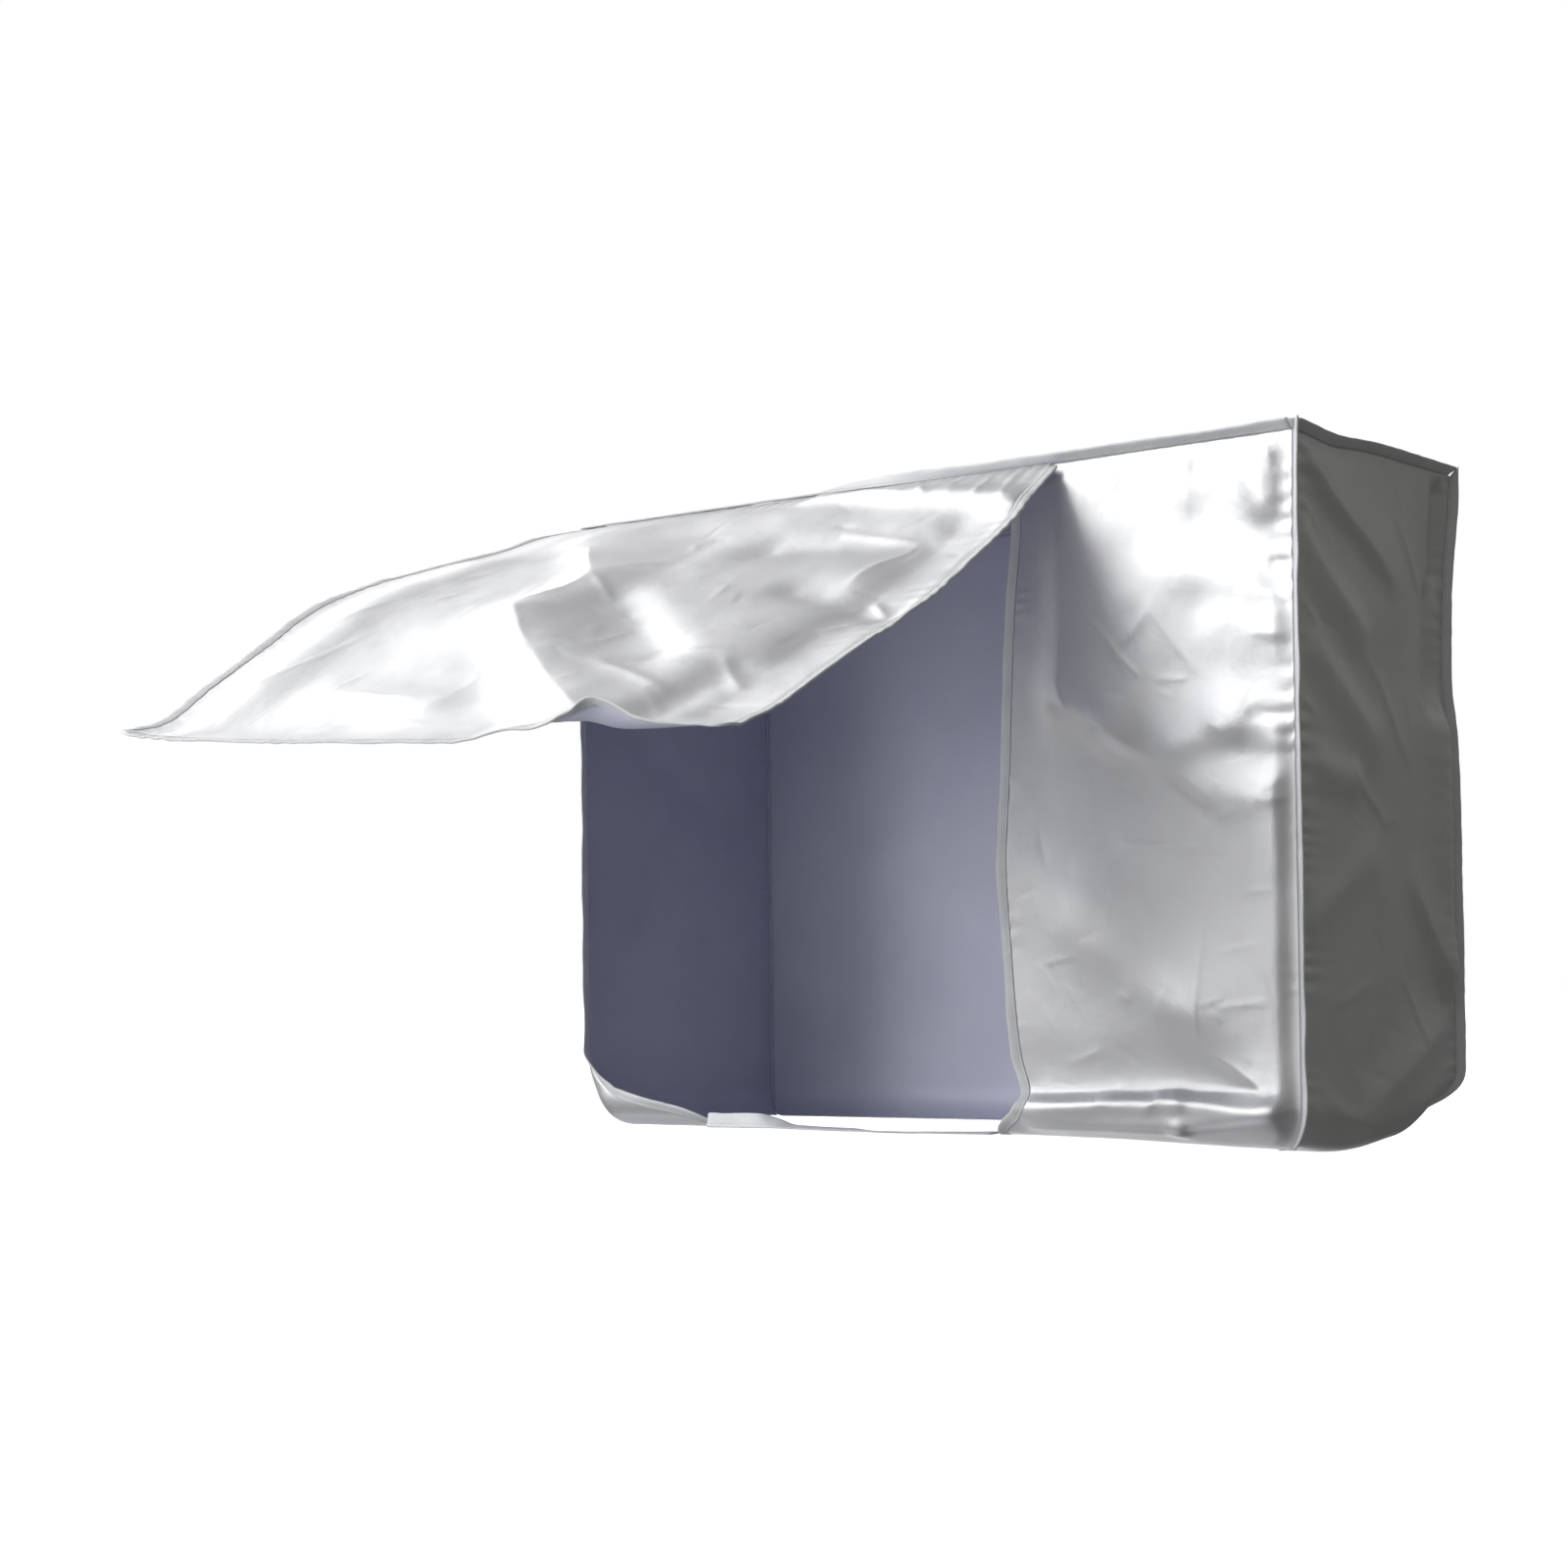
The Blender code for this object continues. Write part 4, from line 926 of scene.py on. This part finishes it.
def build_cover():
    """Lay every piece of the cover."""
    silver_light, silver_dark = (0.90, 0.905, 0.915), (0.82, 0.825, 0.838)
    # The cloth's back face: made bluer and darker than the silver as painted shade for the shadow it lies in
    inner = coated_cloth("inner_face_painted_blue_shade", (0.69, 0.705, 0.84), (0.61, 0.625, 0.765), 0.20, 0.50, 9)
    tape = tape_cloth("folded_tape", (0.93, 0.94, 0.96), (0.86, 0.87, 0.90))
    thread = thread_material()

    def silver(node, seed, rough=0.31, metallic=0.80):
        return [coated_cloth("silver_" + node, silver_light, silver_dark, metallic, rough, seed), inner]

    sewn = [tape, thread]
    made = {}
    made["top_panel"] = lay_sheet(
        "top_panel", top_point, 170, 66, (0.86, 0.32), (0, 0, 1), silver("top_panel", 1)
    )
    made["front_panel"] = lay_sheet(
        "front_panel", front_point, 126, 270, (0.32, 0.685), (0, -1, 0), silver("front_panel", 2)
    )
    made["right_side_panel"] = lay_sheet(
        "right_side_panel", right_point, 112, 230, (0.32, 0.685), (1, 0, 0), silver("right_side_panel", 3)
    )
    made["left_side_panel"] = lay_sheet(
        "left_side_panel", left_point, 96, 170, (0.33, 0.67), (-1, 0, 0), silver("left_side_panel", 4)
    )
    made["back_panel"] = lay_sheet(
        "back_panel", back_point, 160, 126, (0.86, 0.685), (0, 1, 0), silver("back_panel", 5)
    )
    made["front_flap"] = lay_sheet(
        "front_flap", flap_point, 196, 200, (0.617, 0.62), (0, -0.4, 1), silver("front_flap", 6)
    )

    made["top_binding"] = top_binding(sewn)
    for name, side_x, side_y, seed in (
        ("front_right_binding", 1, -1, 301),
        ("back_right_binding", 1, 1, 311),
        ("back_left_binding", -1, 1, 321),
    ):
        down = np.linspace(0.0026, WALL + HEM_ARC * 0.8, 170)
        turned, height, out, up = hem_profile(down)
        line = give(side_x * (HALF_W - turned), side_y * (HALF_D - turned), height)
        lean = unit(np.stack([side_x * out, side_y * out, up * 2], -1))
        lean[:, 2] += TOP_MITRE * np.clip(1 - down / TOP_MITRE_REACH, 0, 1)
        narrowed = 1 - FOOT_NARROW * ease((down - WALL) / (HEM_ARC * 0.8))
        lean = lean * narrowed[:, None]
        made[name] = lay_tape(name, line, lean, TAPE_WIDTH, TAPE_THICK, seed, sewn)

    down = np.linspace(0.004, 1, 200)
    line, lean = edge_line(front_point, [(0, d) for d in down], [(0.08, d) for d in down])
    made["front_panel_edge_binding"] = lay_tape(
        "front_panel_edge_binding", line, lean, TAPE_WIDTH, TAPE_THICK, 331, sewn
    )
    line, lean = edge_line(left_point, [(1, d) for d in down], [(1 - 1 / 16, d) for d in down])
    made["left_panel_edge_binding"] = lay_tape(
        "left_panel_edge_binding", line, lean, TAPE_WIDTH, TAPE_THICK, 341, sewn
    )
    made["flap_binding"] = flap_binding(sewn)
    made["hem_tape"] = hem_tape(sewn)
    return made


def top_binding(materials):
    """Lay the binding round the top edge: out and up, but back over the top behind the flap."""
    corner_round = 0.003
    turns, steps = 12, 110
    corners = ((1, -1, -90), (1, 1, 0), (-1, 1, 90), (-1, -1, 180))
    spots, reaches, leans = [], [], []
    for index, (side_x, side_y, first) in enumerate(corners):
        corner_lean = TOP_BINDING_LEAN[0].lean if index == 3 else 45
        level = np.cos(radians(corner_lean))
        tip = np.array([side_x * (HALF_W + TAPE_WIDTH * level), side_y * (HALF_D + TAPE_WIDTH * level), 0])
        middle = np.array([side_x * (HALF_W - corner_round), side_y * (HALF_D - corner_round), 0])
        next_x, next_y, _ = corners[(index + 1) % 4]
        run = np.array([next_x - side_x, next_y - side_y, 0]) * (
            np.array([HALF_W, HALF_D, 0]) - corner_round
        )
        for step in range(turns + 1):
            angle = radians(first + 90 * step / turns)
            flat = np.array([np.cos(angle), np.sin(angle), 0])
            spot = middle + flat * corner_round
            spots.append(spot)
            reaches.append(flat * level / max(abs(flat)) if level > 0 else (tip - spot) / TAPE_WIDTH)
            leans.append(corner_lean)
        for step in range(1, steps):
            spot = middle + flat * corner_round + run * step / steps
            lean = 45
            if index == 2:
                lean = float(read(LEFT_BINDING_LEAN, "across", "lean", spot[1]))
            if index == 3:
                lean = float(read(TOP_BINDING_LEAN, "across", "lean", spot[0]))
            spots.append(spot)
            reaches.append(flat * np.cos(radians(lean)))
            leans.append(lean)
    spots, reaches = np.array(spots + spots[:1]), np.array(reaches + reaches[:1])
    lean = np.radians(leans + leans[:1])
    rise = CLEAR_OF_TOP - TAPE_THICK / 2 * np.cos(lean)
    line = give(spots[:, 0], spots[:, 1], rise)
    outward = reaches + np.array([0, 0, 1]) * np.sin(lean)[:, None]
    return lay_tape("top_binding", line, outward, TAPE_WIDTH, TAPE_THICK, 351, materials)


def flap_binding(materials):
    """Lay the binding round the flap's three free edges."""
    steps = np.linspace(0.014, 1, 200)
    across = np.linspace(0, 1, 200)[1:-1]
    places = [(0, v) for v in steps] + [(u, 1) for u in across] + [(1, v) for v in steps[::-1]]
    inner = [(u + (0.5 - u) * 0.05, min(v, 0.96)) for u, v in places]
    line, lean = edge_line(flap_point, places, inner)
    return lay_tape("flap_binding", line, lean, TAPE_WIDTH, TAPE_THICK, 361, materials)


def hem_tape(materials):
    """Lay the tape along the front of the hem."""
    across = np.linspace(HEM_TAPE[0].across, HEM_TAPE[-1].across, 90)
    back = read(HEM_TAPE, "across", "back", across)
    drop = read(HEM_TAPE, "across", "drop", across)
    lean = np.radians(read(HEM_TAPE, "across", "tilt", across))
    line = np.stack([across, -HALF_D + back, -drop], -1)
    outward = np.stack([np.zeros(len(lean)), np.cos(lean), np.sin(lean)], -1)
    return lay_tape("hem_tape", line, outward, HEM_TAPE_WIDE, 0.0020, 371, materials)


def add_lamp(name, watts, size, place, target):
    """Add a soft rectangular lamp that the camera doesn't see."""
    area = bpy.data.lights.new(name, "AREA")
    area.shape = "RECTANGLE"
    area.size, area.size_y = size
    area.energy = watts
    lamp = bpy.data.objects.new(name, area)
    lamp.location = place
    lamp.rotation_mode = "QUATERNION"
    aim = Vector(target) - lamp.location
    lamp.rotation_quaternion = aim.to_track_quat("-Z", "Y")
    bpy.context.scene.collection.objects.link(lamp)
    lamp.visible_camera = False
    return lamp


def studio():
    """Set the floor, the soft light and the camera."""
    scene = bpy.context.scene
    scene.view_settings.view_transform = "Standard"
    scene.view_settings.look = "None"
    world = bpy.data.worlds.new("studio")
    scene.world = world
    world.use_nodes = True
    tree = world.node_tree
    tree.nodes.clear()
    way = tree.nodes.new("ShaderNodeTexCoord").outputs["Generated"]
    split = tree.nodes.new("ShaderNodeSeparateXYZ")
    tree.links.new(way, split.inputs[0])
    left = math_node(tree, "MULTIPLY", split.outputs[0], -0.49)
    front = math_node(tree, "MULTIPLY", split.outputs[1], -0.10)
    side = math_node(tree, "ADD", math_node(tree, "ADD", left, front), 0.5)
    height = math_node(tree, "MULTIPLY_ADD", split.outputs[2], 0.5)
    height.node.inputs[2].default_value = 0.5
    lit = ramp_node(
        tree,
        side,
        (0.10, (0.075, 0.074, 0.071)),
        (0.45, (0.122, 0.122, 0.12)),
        (0.60, (0.205, 0.205, 0.205)),
        (0.72, (0.27, 0.27, 0.274)),
        (0.755, (0.40, 0.40, 0.404)),
        (0.785, (0.90, 0.90, 0.90)),
        (0.81, (1.0, 1.0, 1.0)),
        (0.88, (0.84, 0.84, 0.84)),
        (0.93, (0.72, 0.72, 0.72)),
        (0.97, (0.46, 0.46, 0.46)),
    )
    tall = ramp_node(
        tree,
        height,
        (0.05, (0.34, 0.34, 0.36)),
        (0.22, (0.28, 0.28, 0.29)),
        (0.32, (0.14, 0.14, 0.14)),
        (0.40, (0.19, 0.19, 0.19)),
        (0.44, (0.22, 0.22, 0.22)),
        (0.475, (0.38, 0.38, 0.38)),
        (0.50, (0.53, 0.53, 0.53)),
        (0.535, (0.62, 0.62, 0.62)),
        (0.57, (0.74, 0.74, 0.74)),
        (0.63, (0.88, 0.88, 0.88)),
        (0.72, (1.0, 1.0, 1.0)),
        (0.93, (1.0, 1.0, 1.0)),
        (0.99, (0.70, 0.70, 0.71)),
    )
    evening = span_node(tree, side, 0.25, 0.55, 0.50, 0.0)
    even = tree.nodes.new("ShaderNodeMix")
    even.data_type = "RGBA"
    tree.links.new(evening, even.inputs["Factor"])
    tree.links.new(tall, even.inputs["A"])
    even.inputs["B"].default_value = (0.72, 0.72, 0.71, 1)
    blend = tree.nodes.new("ShaderNodeMix")
    blend.data_type = "RGBA"
    blend.blend_type = "MULTIPLY"
    blend.inputs["Factor"].default_value = 1.0
    tree.links.new(lit, blend.inputs["A"])
    tree.links.new(even.outputs["Result"], blend.inputs["B"])
    # A low glow behind on the left, which the cloth's far edges catch
    low = span_node(tree, height, 0.58, 0.68, 1.0, 0.0)
    behind = span_node(tree, split.outputs[1], 0.45, 0.70, 0.0, 1.0)
    leftward = span_node(tree, side, 0.55, 0.68, 0.0, 1.0)
    glow = tree.nodes.new("ShaderNodeMix")
    glow.data_type = "RGBA"
    share = math_node(tree, "MULTIPLY", math_node(tree, "MULTIPLY", low, behind), leftward)
    tree.links.new(share, glow.inputs["Factor"])
    tree.links.new(blend.outputs["Result"], glow.inputs["A"])
    glow.inputs["B"].default_value = (0.44, 0.44, 0.445, 1)
    lamp = tree.nodes.new("ShaderNodeBackground")
    lamp.inputs["Strength"].default_value = 2.3
    tree.links.new(glow.outputs["Result"], lamp.inputs["Color"])
    plain = tree.nodes.new("ShaderNodeBackground")
    plain.inputs["Color"].default_value = (1, 1, 1, 1)
    plain.inputs["Strength"].default_value = 1.0
    path = tree.nodes.new("ShaderNodeLightPath")
    choose = tree.nodes.new("ShaderNodeMixShader")
    tree.links.new(path.outputs["Is Camera Ray"], choose.inputs[0])
    tree.links.new(lamp.outputs[0], choose.inputs[1])
    tree.links.new(plain.outputs[0], choose.inputs[2])
    output = tree.nodes.new("ShaderNodeOutputWorld")
    tree.links.new(choose.outputs[0], output.inputs["Surface"])

    add_lamp("soft_key", 50, (2.4, 2.0), (-2.6, -3.0, 1.6), (0.0, -0.2, -0.3))
    # What a pale floor throws up under the flap
    bounce = add_lamp("floor_bounce", 6, (1.6, 1.0), (-0.5, -1.5, -0.62), (-0.1, -0.45, -0.05))
    bounce.visible_glossy = False

    floor_mesh = bpy.data.meshes.new("floor")
    reach = 30.0
    floor_mesh.from_pydata(
        [(-reach, -reach, 0), (reach, -reach, 0), (reach, reach, 0), (-reach, reach, 0)], [], [(0, 1, 2, 3)]
    )
    floor = bpy.data.objects.new("floor", floor_mesh)
    floor.location = (0, 0, first_box[0].z - 0.004)
    scene.collection.objects.link(floor)
    material, tree, shader = new_material("pale_floor")
    coordinates = tree.nodes.new("ShaderNodeTexCoord").outputs["Object"]
    tone = noise_node(tree, coordinates, 3.0)
    stops = ((0.3, (0.88, 0.88, 0.88)), (0.7, (0.92, 0.92, 0.92)))
    tree.links.new(ramp_node(tree, tone, *stops), shader.inputs["Base Color"])
    shader.inputs["Roughness"].default_value = 0.9
    shader.inputs["Emission Color"].default_value = (1, 1, 1, 1)
    shader.inputs["Emission Strength"].default_value = 0.90
    floor_mesh.materials.append(material)
    floor.visible_diffuse = False
    floor.visible_glossy = False

    lens = bpy.data.cameras.new("camera")
    lens.lens = 66.17
    lens.sensor_width = 36.0
    lens.shift_y = 130 / 1600
    lens.clip_start, lens.clip_end = 0.05, 200.0
    camera = bpy.data.objects.new("camera", lens)
    yaw, pitch, roll = radians(-38.314), radians(1.526), radians(-0.696)
    ahead = Vector((np.sin(yaw) * np.cos(pitch), np.cos(yaw) * np.cos(pitch), np.sin(pitch)))
    right = Vector((np.cos(yaw), -np.sin(yaw), 0.0))
    up = right.cross(ahead)
    right_now = right * np.cos(roll) + up * np.sin(roll)
    up_now = up * np.cos(roll) - right * np.sin(roll)
    turn = Matrix((right_now, up_now, -ahead)).transposed().to_4x4()
    camera.matrix_world = Matrix.Translation((1.6607, -2.4594, -0.4963)) @ turn
    scene.collection.objects.link(camera)
    scene.camera = camera


build_cover()
studio()
